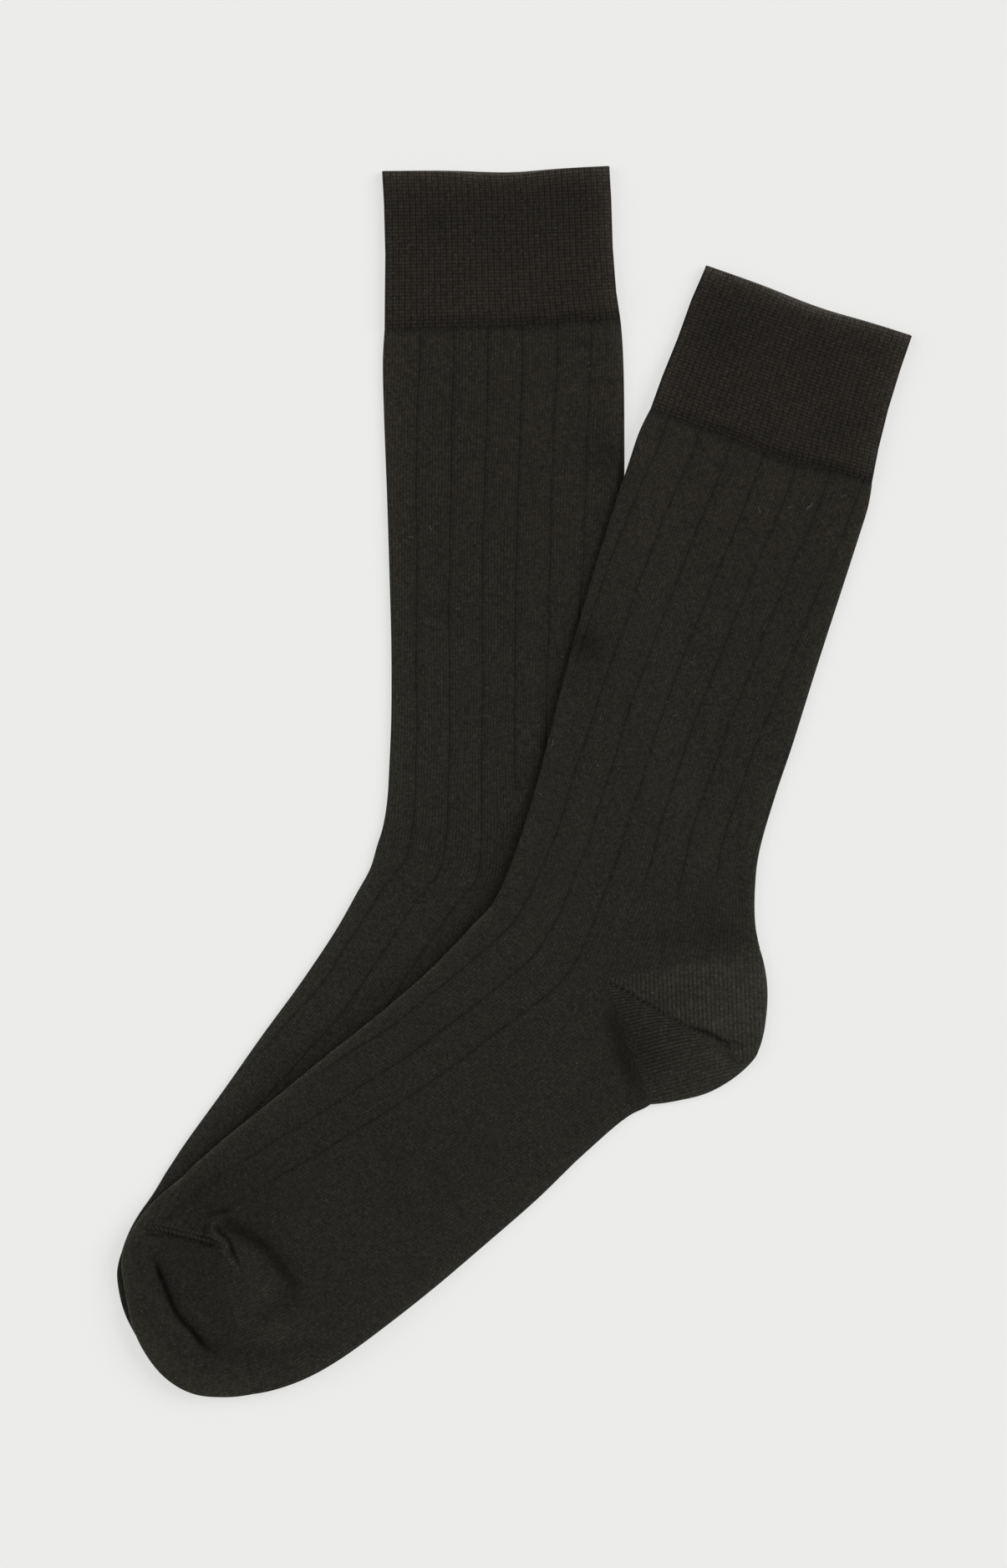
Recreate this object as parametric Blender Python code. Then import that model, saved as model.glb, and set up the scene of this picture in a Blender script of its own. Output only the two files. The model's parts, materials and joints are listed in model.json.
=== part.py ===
"""A pair of mid-calf dress socks, laid flat with one across the other.

Each sock is a knitted tube pressed flat, so that its two faces lie on each other: a turned welt in
fine ribs, a leg and foot with wide ribs between drop-needle grooves, a heel pocket and a toe pocket.

A sock's sizes are in millimetres in its own plan. The origin is the heel corner, where the two
joining lines of the heel pocket meet, +Y runs up the leg and +X points to the back of the heel.
A section crosses the flat tube from its front edge, over the side line, to its back edge. The side
line follows the wale that parts the ribbed half from the half that turns into the sole.
"""

import math
from collections import namedtuple

import bmesh
import bpy

MM = 0.001

# Cloth
LEG_WALL = 1.2
POCKET_WALL = 1.4
WELT_WALL = 1.9  # the welt is turned, so it is two layers of cloth
SLOT = 0.6  # air between the two faces
LEAST_SLOT = 0.3
EDGE_ROUND = 2.6  # the cloth curves over this far in from a folded edge
SLOT_ROUND = 0.8
SEAM = 0.3
EYELET = 0.8  # open ring at the corner where a pocket's rows meet

# Columns of points across a face. Shares are of EDGE_ROUND, and steps are distances from an edge.
EDGE_SHARES = (0.0, 0.12, 0.42)
EDGE_END_SHARE = 0.9
PLAIN_SHARES = (0.3, 0.65)  # between the last groove and the back edge
BOTTOM_STEPS = (0.0, 0.5, 1.7)
INSIDE_STEPS = (0.0, 0.6)
FACE_HALF_COUNT = 4  # even columns on each side of the side line
POCKET_STEPS = (1.7, 0.5, 0.1)
POCKET_INSIDE_ROUND = 1.5
POCKET_TOP_COUNT = 10
POCKET_COUNT = 6

# Ribs
FRONT_LINES = (4, 3, 2, 1)  # grooves in front of the side line, counted in ribs
BACK_LINES = (0, 1, 2)
GROOVE_DEPTH = 0.25
GROOVE_HALF = 0.6
GROOVE_FADE = 3.0
NEAREST_LINE = 2.0  # a groove that runs out over the front edge stays this far in, and fades
LINE_PACKING = 1.6
WELT_RIBS = 38
WELT_RIB_DEPTH = 0.35
WELT_EDGE_STEPS = (0.0, 0.25)
WELT_RIB_START = 0.7  # the first and last ribs stand this far in from the folded edges
WELT_LIP = 0.5
LIP_THINNING = 0.5  # share of the welt's wall that its lip loses

# Lay of the pair
LIFT = 3.8  # how far the upper sock rides up on the lower one
LIFT_MARGIN = 2.0
LIFT_RAMP = 22.0
FOLD_REACH = 6.0  # folds die out over this width along an edge

Sock = namedtuple("Sock", "name corner_x corner_y turn bend raised slices")
SOCKS = (
    # name, heel corner in the pair, turn, extra ankle bend (degrees), lies on the other, slices a row
    Sock("under", -1.35, -38.4, 1.2, -2.4, False, 1),
    Sock("over", 32.85, -70.8, -16.6, 0.0, True, 2),
)

# A groove stands on the side line and at every whole rib to each side of it. grooved is how much of
# that the back half carries, and bend the share of the ankle's extra bend that the section takes.
Section = namedtuple("Section", "side_x side_y front_deg front back_deg back rib grooved bend")
WELT = {
    "over": (
        Section(12.0, 252.5, 177.4, 50.9, -1.7, 27.2, 12.3, 0, 0),
        Section(12.0, 240.0, 177.2, 52.4, -0.8, 26.7, 12.3, 0, 0),
        Section(12.0, 225.0, 177.0, 53.2, 0.0, 26.6, 12.3, 0, 0),
        Section(12.2, 210.0, 176.8, 54.8, 0.9, 27.1, 12.3, 0, 0),
        Section(12.6, 197.6, 176.5, 55.2, 1.8, 27.9, 12.3, 0, 0),
    ),
    "under": (
        Section(8.4, 257.0, 179.4, 49.1, 1.1, 32.5, 12.3, 0, 0),
        Section(8.4, 246.4, 179.6, 48.7, 1.0, 32.9, 12.3, 0, 0),
        Section(8.4, 228.4, 179.8, 48.6, 1.2, 33.1, 12.3, 0, 0),
        Section(8.4, 212.4, 180.0, 49.1, 2.0, 34.0, 12.3, 0, 0),
        Section(8.4, 202.2, 180.1, 49.4, 2.8, 35.3, 12.3, 0, 0),
    ),
}
LEG = {
    "over": (
        Section(12.6, 197.3, 176.5, 55.2, 1.8, 27.9, 12.3, 1, 0),
        Section(12.4, 189.0, 177.5, 57.2, 1.0, 29.0, 12.3, 1, 0),
        Section(11.6, 178.0, 178.5, 56.8, 0.5, 30.0, 12.4, 1, 0),
        Section(9.5, 160.0, 180.0, 55.1, 0.0, 31.7, 12.4, 1, 0),
        Section(6.6, 130.0, 180.0, 52.5, 0.0, 33.9, 12.2, 1, 0),
        Section(4.1, 100.0, 180.0, 49.4, 0.0, 36.0, 11.8, 1, 0),
        Section(3.3, 80.0, 180.0, 47.8, 0.0, 36.1, 11.6, 1, 0),
        Section(2.7, 60.0, 180.0, 46.5, 0.0, 36.9, 11.6, 1, 0),
        Section(3.1, 45.0, 179.0, 46.9, 1.5, 39.0, 11.8, 1, 0),
        Section(3.0, 30.0, 176.0, 47.4, 6.0, 42.9, 12.4, 0, 0),
        Section(2.2, 15.0, 172.0, 48.0, 17.0, 48.2, 12.6, 0, 0.3),
        Section(0.0, 0.0, 163.2, 48.9, 28.2, 56.3, 13.0, 0, 0.5),
    ),
    "under": (
        Section(8.4, 201.9, 180.1, 49.4, 2.8, 35.3, 12.3, 1, 0),
        Section(8.2, 190.0, 180.0, 50.1, 1.0, 36.2, 12.3, 1, 0),
        Section(7.2, 172.0, 180.0, 49.1, 0.0, 37.2, 12.3, 1, 0),
        Section(5.6, 142.0, 180.0, 47.0, 0.0, 38.2, 12.2, 1, 0),
        Section(4.2, 112.0, 180.0, 45.3, 0.0, 38.5, 11.9, 1, 0),
        Section(3.4, 88.0, 180.0, 44.4, 0.0, 38.4, 11.8, 1, 0),
        Section(2.7, 64.0, 180.0, 44.2, 0.0, 38.3, 11.7, 1, 0),
        Section(2.2, 46.0, 179.0, 44.7, 1.5, 39.6, 11.8, 1, 0),
        Section(2.7, 30.0, 176.0, 46.4, 6.0, 42.9, 12.3, 0, 0),
        Section(2.0, 15.0, 172.0, 48.4, 17.0, 48.3, 12.6, 0, 0.3),
        Section(0.0, 0.0, 163.2, 50.4, 28.2, 56.3, 13.0, 0, 0.5),
    ),
}
FOOT_HEEL_SIDE = {"back_deg": -53.7, "back": 47.5}  # the ankle section again, below the heel pocket
FOOT = (
    Section(-7.9, -9.6, 159.0, 45.7, -49.0, 45.8, 12.4, 0, 0.75),
    Section(-15.1, -20.3, 155.0, 43.8, -45.0, 44.8, 12.2, 0, 1),
    Section(-25.5, -37.2, 151.0, 42.6, -38.0, 43.9, 12.2, 0, 1),
    Section(-38.2, -58.7, 147.0, 43.4, -34.0, 44.1, 12.5, 0, 1),
    Section(-54.5, -77.5, 145.0, 40.8, -34.0, 47.8, 12.3, 0, 1),
    Section(-71.3, -96.0, 142.0, 37.3, -35.0, 51.7, 12.0, 0, 1),
    Section(-88.1, -114.5, 140.0, 34.1, -39.0, 54.6, 11.8, 0, 1),
    Section(-96.5, -123.5, 140.0, 31.8, -45.0, 55.5, 11.6, 0, 1),
    Section(-101.5, -129.5, 150.0, 30.2, -51.0, 54.2, 11.4, 0, 1),
    Section(-105.0, -133.0, 180.0, 31.8, -60.0, 52.3, 11.0, 0, 1),
)

# A pocket is a fan of rows about its corner: each row's direction, and its length to the edge.
Row = namedtuple("Row", "deg reach")
HEEL_CORNER = (0.0, 0.0)
HEEL_BEND = 0.5  # as the ankle section, which runs along both its end rows
HEEL = (
    Row(28.2, 56.3),
    Row(16.5, 57.5),
    Row(4.8, 58.7),
    Row(-6.9, 60.0),
    Row(-18.6, 58.3),
    Row(-30.3, 54.4),
    Row(-42.0, 50.7),
    Row(-53.7, 47.5),
)
TOE_CORNER = (-105.0, -133.0)
TOE_BEND = 1
TOE = (
    Row(180.0, 31.8),
    Row(192.0, 34.0),
    Row(204.0, 35.2),
    Row(216.0, 36.1),
    Row(228.0, 37.9),
    Row(240.0, 40.5),
    Row(252.0, 44.0),
    Row(264.0, 47.9),
    Row(276.0, 51.5),
    Row(288.0, 52.0),
    Row(300.0, 52.3),
)
TOE_SLICES = {"under": 1, "over": 3}
HEEL_SLICES = {"under": 1, "over": 2}

# Folds and swellings of the upper sock's top face, along short paths in its own plan.
Fold = namedtuple("Fold", "name half_width height path")
FOLDS = (
    Fold("toe swelling", 17.0, 1.1, ((-92.0, -143.0), (-86.0, -153.0))),
    Fold("toe rim", 7.0, 0.5, ((-133.0, -142.0), (-126.0, -156.0), (-112.0, -169.0))),
    Fold("toe crease", 3.6, -1.0, ((-126.8, -141.3), (-120.9, -149.6), (-110.6, -160.4), (-102, -167))),
    Fold("under-toe valley", 6.0, -0.6, ((-98.9, -167.2), (-84.0, -166.5), (-64.0, -157.5))),
    Fold("toe corner valley", 6.5, -1.0, ((-105.0, -120.0), (-94.0, -122.0), (-84.0, -130.0), (-76, -140))),
    Fold("toe corner pucker", 3.5, 1.1, ((-106, -122), (-107.5, -127.5), (-100.5, -132.5), (-96, -136.5))),
    Fold("toe seam ridge", 2.6, 0.5, ((-132.0, -134.6), (-120.0, -134.4), (-108.0, -134.2))),
    Fold("heel corner valley", 7.0, -0.5, ((3.0, -8.0), (9.6, -21.6), (20.0, -33.0))),
    Fold("heel crease", 3.4, -0.7, ((36.0, -9.6), (44.0, -12.3), (54.0, -16.0))),
    Fold("heel swelling", 15.0, 0.7, ((38.0, 6.0), (40.0, -24.0))),
)

SHARP_DEG = 40  # a sharper edge than this is shaded as an edge

# Colours are linear.
WELT_YARN = ("welt yarn", (0.0168, 0.0156, 0.0130), 0.9)
LEG_YARN = ("leg yarn", (0.0198, 0.0186, 0.0153), 0.88)
HEEL_YARN = ("heel yarn", (0.0232, 0.0222, 0.0186), 0.88)
TOE_YARN = ("toe yarn", (0.0194, 0.0182, 0.0151), 0.88)


def smooth(share):
    """0 to 1 with level ends."""
    share = min(max(share, 0.0), 1.0)
    return share * share * (3 - 2 * share)


def turned(point, degrees):
    cos, sin = math.cos(math.radians(degrees)), math.sin(math.radians(degrees))
    return (point[0] * cos - point[1] * sin, point[0] * sin + point[1] * cos)


def stepped(start, degrees, distance):
    angle = math.radians(degrees)
    return (start[0] + distance * math.cos(angle), start[1] + distance * math.sin(angle))


def refined(rows, slices):
    """The rows with others between them, on a smooth curve through every column."""
    kind = type(rows[0])
    found = []
    for i in range(len(rows) - 1):
        four = [rows[max(i - 1, 0)], rows[i], rows[i + 1], rows[min(i + 2, len(rows) - 1)]]
        for n in range(slices):
            t = n / slices
            found.append(kind(*(curve_value(t, *column) for column in zip(*four))))
    return found + [rows[-1]]


def curve_value(t, before, start, end, after):
    """Catmull-Rom between start and end."""
    rise, last_rise = (end - before) / 2, (after - start) / 2
    straight = start + (end - start) * t * t * (3 - 2 * t)
    return straight + rise * t * (1 - t) ** 2 - last_rise * t * t * (1 - t)


def to_segment(point, start, end):
    """Distance from a point to a segment, and how far along the segment it is nearest."""
    along = (end[0] - start[0], end[1] - start[1])
    length = math.hypot(*along)
    offset = (point[0] - start[0], point[1] - start[1])
    share = min(max((offset[0] * along[0] + offset[1] * along[1]) / length**2, 0.0), 1.0)
    return math.hypot(offset[0] - along[0] * share, offset[1] - along[1] * share), share * length


# ---------------------------------------------------------------- plan of a sock


def section_point(section, distance):
    """A plan point on a section: minus towards the front edge, plus towards the back."""
    side = (section.side_x, section.side_y)
    if distance < 0:
        return stepped(side, section.front_deg, -distance)
    return stepped(side, section.back_deg, distance)


def leg_rows(sock):
    return refined(LEG[sock.name], sock.slices)


def foot_rows(sock):
    ankle = LEG[sock.name][-1]
    return refined((ankle._replace(**FOOT_HEEL_SIDE),) + FOOT, sock.slices)


def outline(sock):
    """The sock's outline, in the plan of the pair."""
    tube = [*WELT[sock.name], *leg_rows(sock), *foot_rows(sock)]
    front = [turned(section_point(s, -s.front), sock.bend * s.bend) for s in tube]
    back = [turned(section_point(s, s.back), sock.bend * s.bend) for s in tube]
    toe = [turned(stepped(TOE_CORNER, r.deg, r.reach), sock.bend * TOE_BEND) for r in TOE]
    heel = [turned(stepped(HEEL_CORNER, r.deg, r.reach), sock.bend * HEEL_BEND) for r in HEEL]
    above = len(WELT[sock.name]) + len(leg_rows(sock))
    loop = front + toe + back[above:][::-1] + heel[::-1] + back[:above][::-1]
    return [in_pair(sock, point) for point in loop]


def in_pair(sock, point):
    x, y = turned(point, sock.turn)
    return (x + sock.corner_x, y + sock.corner_y)


def distance_outside(point, loop):
    """0 inside the loop, else the distance to it."""
    inside = False
    nearest = math.inf
    for a, b in zip(loop, loop[1:] + loop[:1]):
        if a == b:
            continue
        nearest = min(nearest, to_segment(point, a, b)[0])
        if (a[1] > point[1]) != (b[1] > point[1]):
            cross = a[0] + (point[1] - a[1]) * (b[0] - a[0]) / (b[1] - a[1])
            inside ^= point[0] < cross
    return 0.0 if inside else nearest


UNDER_OUTLINE = outline(SOCKS[0])


def lift(sock, point):
    """How far the cloth at a plan point is carried up by the sock beneath it."""
    if not sock.raised:
        return 0.0
    clear = distance_outside(in_pair(sock, point), UNDER_OUTLINE) - LIFT_MARGIN
    return LIFT * (1 - smooth(clear / LIFT_RAMP))


def fold_height(sock, point):
    """Height that the folds add to the top face."""
    if not sock.raised:
        return 0.0
    total = 0.0
    for fold in FOLDS:
        near = [to_segment(point, a, b)[0] for a, b in zip(fold.path, fold.path[1:])]
        total += fold.height * (1 - smooth(min(near) / fold.half_width))
    return total


# ---------------------------------------------------------------- wall of a sock


class Wall:
    """A closed wall: points in the sock's plan and height, and the faces between them."""

    def __init__(self, sock, wall, top):
        self.sock = sock
        self.wall = wall
        self.top = top
        self.points = []
        self.faces = []

    def add(self, point, edge_in, face, outer, groove=0.0):
        """One point, edge_in from the folded edge, on face 1 (top) or -1 (bottom)."""
        depth = self.top / 2 if outer else self.top / 2 - self.wall
        inset = edge_in if outer else edge_in - self.wall
        curve = EDGE_ROUND if outer else SLOT_ROUND
        around = min(max(1 - inset / curve, 0.0), 1.0)
        height = self.top / 2 + face * depth * math.sqrt(1 - around * around)
        if face > 0:
            relief = fold_height(self.sock, point) * smooth(edge_in / FOLD_REACH)
            deepest = self.top - 2 * self.wall - LEAST_SLOT
            height += max(relief, -deepest) - groove * smooth(edge_in / EDGE_ROUND)
        self.points.append((*point, height + lift(self.sock, point)))
        return len(self.points) - 1

    def skin(self, first, second, closed=False):
        """Quads between two rows of points of the same count."""
        count = len(first)
        for i in range(count if closed else count - 1):
            j = (i + 1) % count
            corners = [first[i], first[j], second[j], second[i]]
            kept = [c for n, c in enumerate(corners) if c != corners[n - 1]]
            if len(kept) > 2:
                self.faces.append(kept)

    def rim(self, outer, inner):
        """Triangles from one chain of (place, point) pairs to another, matched by place."""
        i = j = 0
        while i < len(outer) - 1 or j < len(inner) - 1:
            on_outer = j == len(inner) - 1 or (
                i < len(outer) - 1 and outer[i + 1][0] <= inner[j + 1][0]
            )
            if on_outer:
                self.faces.append([outer[i][1], outer[i + 1][1], inner[j][1]])
                i += 1
            else:
                self.faces.append([outer[i][1], inner[j + 1][1], inner[j][1]])
                j += 1


class Ring:
    """The points round one section, in order: front edge, top face, back edge, bottom face."""

    def __init__(self, wall, section, top_columns, bottom_columns, outer):
        width = section.front + section.back
        self.chain = []
        for face, columns in ((1, top_columns), (-1, bottom_columns[::-1])):
            for distance, groove in columns:
                place = (distance + section.front) / width
                point = turned(section_point(section, distance), wall.sock.bend * section.bend)
                edge_in = min(distance + section.front, section.back - distance)
                index = wall.add(point, edge_in, face, outer, groove)
                self.chain.append((place if face > 0 else 2 - place, index))
        self.side_top = [d for d, _ in top_columns].index(0.0)
        self.side_bottom = len(top_columns) + [d for d, _ in bottom_columns[::-1]].index(0.0)

    def indices(self):
        return [index for _, index in self.chain]

    def closed(self):
        place, index = self.chain[0]
        return self.chain + [(place + 2, index)]

    def back_half(self):
        return self.chain[self.side_top : self.side_bottom + 1]

    def with_front_of(self, other):
        """This ring's back half, on the other ring's front half."""
        self.chain[: self.side_top + 1] = other.chain[: self.side_top + 1]
        self.chain[self.side_bottom :] = other.chain[self.side_bottom :]
        return self


def groove_columns(section):
    """Top face columns: the folded edges, the drop-needle grooves, and the middle of each rib."""
    front, back, rib = section.front, section.back, section.rib
    lines = []
    for packed, n in enumerate(FRONT_LINES):
        true_inset = front - n * rib
        inset = max(true_inset, NEAREST_LINE + packed * LINE_PACKING)
        lines.append((inset - front, smooth(true_inset / GROOVE_FADE)))
    lines += [(n * rib, min(max(section.grooved, 0.0), 1.0)) for n in BACK_LINES]
    room = min(lines[0][0] + front - GROOVE_HALF, EDGE_ROUND)
    columns = [(share * room - front, 0.0) for share in EDGE_SHARES]
    for n, (centre, share) in enumerate(lines):
        if n:
            columns.append(((lines[n - 1][0] + centre) / 2, 0.0))
        columns.append((centre - GROOVE_HALF, 0.0))
        columns.append((centre, share * GROOVE_DEPTH))
        columns.append((centre + GROOVE_HALF, 0.0))
    last = lines[-1][0] + GROOVE_HALF
    rest = back - EDGE_ROUND - last
    columns += [(last + rest * share, 0.0) for share in PLAIN_SHARES]
    columns += [(back - EDGE_ROUND * share, 0.0) for share in (EDGE_END_SHARE, *EDGE_SHARES[::-1])]
    return columns


def plain_columns(section, edge_steps, inset=0.0):
    """Columns with no relief: steps in from each folded edge, then even ones."""
    reach = max(edge_steps)
    front, back = section.front - inset, section.back - inset
    shares = [n / FACE_HALF_COUNT for n in range(1, FACE_HALF_COUNT)]
    columns = [(step - front, 0.0) for step in edge_steps]
    columns += [((reach - front) * (1 - share), 0.0) for share in shares]
    columns.append((0.0, 0.0))
    columns += [((back - reach) * share, 0.0) for share in shares]
    columns += [(back - step, 0.0) for step in reversed(edge_steps)]
    return columns


def outer_bottom(section):
    """The bottom face without its edge points, which the top face already has."""
    return plain_columns(section, BOTTOM_STEPS)[1:-1]


def inner_pair(section, wall):
    """Inside columns for the top face, and for the bottom face without its ends."""
    columns = plain_columns(section, INSIDE_STEPS, wall.wall)
    return columns, columns[1:-1]


def welt_columns(section):
    """Top face columns of the welt: a ridge and a valley for each fine rib."""
    start = WELT_RIB_START - section.front
    half_rib = (section.back - WELT_RIB_START - start) / (2 * WELT_RIBS)
    places = [start + half_rib * n for n in range(2 * WELT_RIBS + 1)]
    nearest = min(places, key=abs)
    places[places.index(nearest)] = 0.0
    columns = [(step - section.front, 0.0) for step in WELT_EDGE_STEPS]
    for n, place in enumerate(places):
        columns.append((place, WELT_RIB_DEPTH * (n % 2 == 0)))
    columns += [(section.back - step, 0.0) for step in reversed(WELT_EDGE_STEPS)]
    return columns


def tube_rings(wall, section, columns):
    inner_top, inner_bottom = inner_pair(section, wall)
    outer = Ring(wall, section, columns, outer_bottom(section), True)
    return outer, Ring(wall, section, inner_top, inner_bottom, False)


def join_rings(wall, rings):
    for (outer, inner), (next_outer, next_inner) in zip(rings, rings[1:]):
        wall.skin(outer.indices(), next_outer.indices(), closed=True)
        wall.skin(inner.indices(), next_inner.indices(), closed=True)


# ---------------------------------------------------------------- pieces


def make_welt(sock):
    """The turned welt: a short double tube, rounded over at the mouth."""
    wall = Wall(sock, WELT_WALL, 2 * WELT_WALL + SLOT)
    rows = WELT[sock.name]
    rings = [tube_rings(wall, section, welt_columns(section)) for section in rows]
    join_rings(wall, rings)
    mouth = rows[0]
    lip = mouth._replace(side_y=mouth.side_y + WELT_LIP)
    lip_wall = Wall(sock, WELT_WALL, wall.top)
    outer, inner = tube_rings(lip_wall, lip, welt_columns(lip))
    base = len(wall.points)
    middle = wall.top / 2
    share = LIP_THINNING * WELT_WALL / middle
    for x, y, z in lip_wall.points:
        ground = lift(sock, (x, y)) + middle
        wall.points.append((x, y, ground + (z - ground) * (1 - share)))
    for ring in (outer, inner):
        ring.chain = [(place, index + base) for place, index in ring.chain]
    for lip_ring, first in ((outer, rings[0][0]), (inner, rings[0][1])):
        wall.skin(lip_ring.indices(), first.indices(), closed=True)
    wall.rim(outer.closed(), inner.closed())
    wall.rim(rings[-1][0].closed(), rings[-1][1].closed())
    return wall


def make_body(sock):
    """Leg and foot in one tube, with a slit across its back half that the heel pocket fills."""
    wall = Wall(sock, LEG_WALL, 2 * LEG_WALL + SLOT)
    leg = [tube_rings(wall, s, groove_columns(s)) for s in leg_rows(sock)]
    foot = [tube_rings(wall, s, groove_columns(s)) for s in foot_rows(sock)]
    foot[0] = tuple(below.with_front_of(above) for below, above in zip(foot[0], leg[-1]))
    join_rings(wall, leg)
    join_rings(wall, foot)
    wall.rim(leg[0][0].closed(), leg[0][1].closed())
    wall.rim(foot[-1][0].closed(), foot[-1][1].closed())
    for outer, inner in (leg[-1], foot[0]):
        wall.rim(outer.back_half(), inner.back_half())
    return wall


def make_pocket(sock, corner, bend, rows):
    """A heel or toe pocket: a fan of rows, folded over at its edge and open along its end rows."""
    wall = Wall(sock, POCKET_WALL, 2 * POCKET_WALL + SLOT)
    middle = (rows[0].deg + rows[-1].deg) / 2
    half_open = math.radians(abs(rows[0].deg - rows[-1].deg) / 2)
    offset = SEAM / math.sin(half_open)
    fan = []
    for row in rows:
        start = stepped(corner, middle, offset)
        reach = row.reach - offset * math.cos(math.radians(row.deg - middle))
        place = (start, row.deg, reach, sock.bend * bend)
        fan.append([pocket_chain(wall, *place, outer) for outer in (True, False)])
    for (outer, inner), (next_outer, next_inner) in zip(fan, fan[1:]):
        wall.skin([i for _, i in outer], [i for _, i in next_outer])
        wall.skin([i for _, i in inner], [i for _, i in next_inner])
        for end in (0, -1):
            wall.faces.append([outer[end][1], inner[end][1], next_inner[end][1], next_outer[end][1]])
    for outer, inner in (fan[0], fan[-1]):
        wall.rim(outer, inner)
    return wall


def pocket_chain(wall, start, degrees, reach, bend, outer):
    """A pocket row's points: out over the top face, round the edge, and back over the bottom face."""
    inset = 0.0 if outer else wall.wall
    reach -= inset
    edge_steps = POCKET_STEPS if outer else INSIDE_STEPS[1:]
    last = reach - (EDGE_ROUND if outer else POCKET_INSIDE_ROUND)
    count = POCKET_TOP_COUNT if outer else POCKET_COUNT
    top = [EYELET + (last - EYELET) * n / count for n in range(count + 1)]
    bottom = [EYELET + (last - EYELET) * n / POCKET_COUNT for n in range(POCKET_COUNT + 1)]
    edge = [reach - step for step in edge_steps]
    chain = []
    for face, places in ((1, top + edge + [reach]), (-1, edge[::-1] + bottom[::-1])):
        for place in places:
            point = turned(stepped(start, degrees, place), bend)
            index = wall.add(point, reach - place + inset, face, outer)
            chain.append((place / reach if face > 0 else 2 - place / reach, index))
    return chain


def yarn(name, colour, roughness):
    found = bpy.data.materials.get(name)
    if found:
        return found
    material = bpy.data.materials.new(name)
    material.use_nodes = True
    shader = material.node_tree.nodes["Principled BSDF"]
    shader.inputs["Base Color"].default_value = (*colour, 1)
    shader.inputs["Roughness"].default_value = roughness
    shader.inputs["Metallic"].default_value = 0.0
    return material


def place_piece(name, wall, finish, parent):
    mesh = bpy.data.meshes.new(name)
    mesh.from_pydata([(x * MM, y * MM, z * MM) for x, y, z in wall.points], [], wall.faces)
    form = bmesh.new()
    form.from_mesh(mesh)
    loose = [v for v in form.verts if not v.link_faces]
    bmesh.ops.delete(form, geom=loose, context="VERTS")
    bmesh.ops.recalc_face_normals(form, faces=form.faces)
    form.to_mesh(mesh)
    form.free()
    mesh.shade_smooth()
    mesh.set_sharp_from_angle(angle=math.radians(SHARP_DEG))
    mesh.materials.append(yarn(*finish))
    piece = bpy.data.objects.new(name, mesh)
    piece.parent = parent
    bpy.context.scene.collection.objects.link(piece)


def build_sock(sock):
    corner = bpy.data.objects.new(f"{sock.name}_sock", None)
    corner.location = (sock.corner_x * MM, sock.corner_y * MM, 0)
    corner.rotation_euler = (0, 0, math.radians(sock.turn))
    bpy.context.scene.collection.objects.link(corner)
    place_piece(f"{sock.name}_welt", make_welt(sock), WELT_YARN, corner)
    place_piece(f"{sock.name}_leg_and_foot", make_body(sock), LEG_YARN, corner)
    heel = make_pocket(sock, HEEL_CORNER, HEEL_BEND, refined(HEEL, HEEL_SLICES[sock.name]))
    toe = make_pocket(sock, TOE_CORNER, TOE_BEND, refined(TOE, TOE_SLICES[sock.name]))
    place_piece(f"{sock.name}_heel", heel, HEEL_YARN, corner)
    place_piece(f"{sock.name}_toe", toe, TOE_YARN, corner)


for left_over in list(bpy.data.objects):
    bpy.data.objects.remove(left_over, do_unlink=True)
for each in SOCKS:
    build_sock(each)
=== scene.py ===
"""Pair of knitted socks laid flat, one across the other: knit, seams, lint, stage and camera."""

import json
import math
from collections import namedtuple
from functools import partial

import bmesh
import bpy
import numpy as np
from mathutils.bvhtree import BVHTree
from bpy.props import FloatProperty, FloatVectorProperty, PointerProperty
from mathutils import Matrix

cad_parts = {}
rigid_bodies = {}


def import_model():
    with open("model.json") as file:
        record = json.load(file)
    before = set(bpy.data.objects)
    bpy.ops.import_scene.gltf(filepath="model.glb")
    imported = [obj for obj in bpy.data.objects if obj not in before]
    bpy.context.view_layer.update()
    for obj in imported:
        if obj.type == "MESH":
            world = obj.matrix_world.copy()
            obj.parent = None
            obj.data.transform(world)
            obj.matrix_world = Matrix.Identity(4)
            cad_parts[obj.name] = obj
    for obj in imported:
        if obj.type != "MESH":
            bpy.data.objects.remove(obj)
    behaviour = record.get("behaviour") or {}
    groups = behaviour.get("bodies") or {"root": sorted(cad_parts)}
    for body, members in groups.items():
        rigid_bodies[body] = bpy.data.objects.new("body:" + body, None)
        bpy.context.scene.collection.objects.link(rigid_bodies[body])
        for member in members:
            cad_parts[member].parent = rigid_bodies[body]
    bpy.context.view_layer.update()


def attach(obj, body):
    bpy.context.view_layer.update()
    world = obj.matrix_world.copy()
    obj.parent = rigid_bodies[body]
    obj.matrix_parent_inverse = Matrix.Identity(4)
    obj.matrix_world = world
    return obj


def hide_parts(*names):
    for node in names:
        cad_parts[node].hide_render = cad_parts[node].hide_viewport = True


bl_info = {
    "name": "Pair of socks",
    "version": (1, 0, 0),
    "blender": (4, 5, 0),
    "location": "3D Viewport > Sidebar > Socks",
    "description": "Builds a pair of knitted mid-calf socks, laid flat with one across the other",
    "category": "Object",
}

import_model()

MM = 0.001

# ---------------------------------------------------------------- sizes, in millimetres

LEG_WALL = 1.2
POCKET_WALL = 1.4
WELT_WALL = 1.9
SLOT = 0.6
EDGE_ROUND = 5.0
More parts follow.
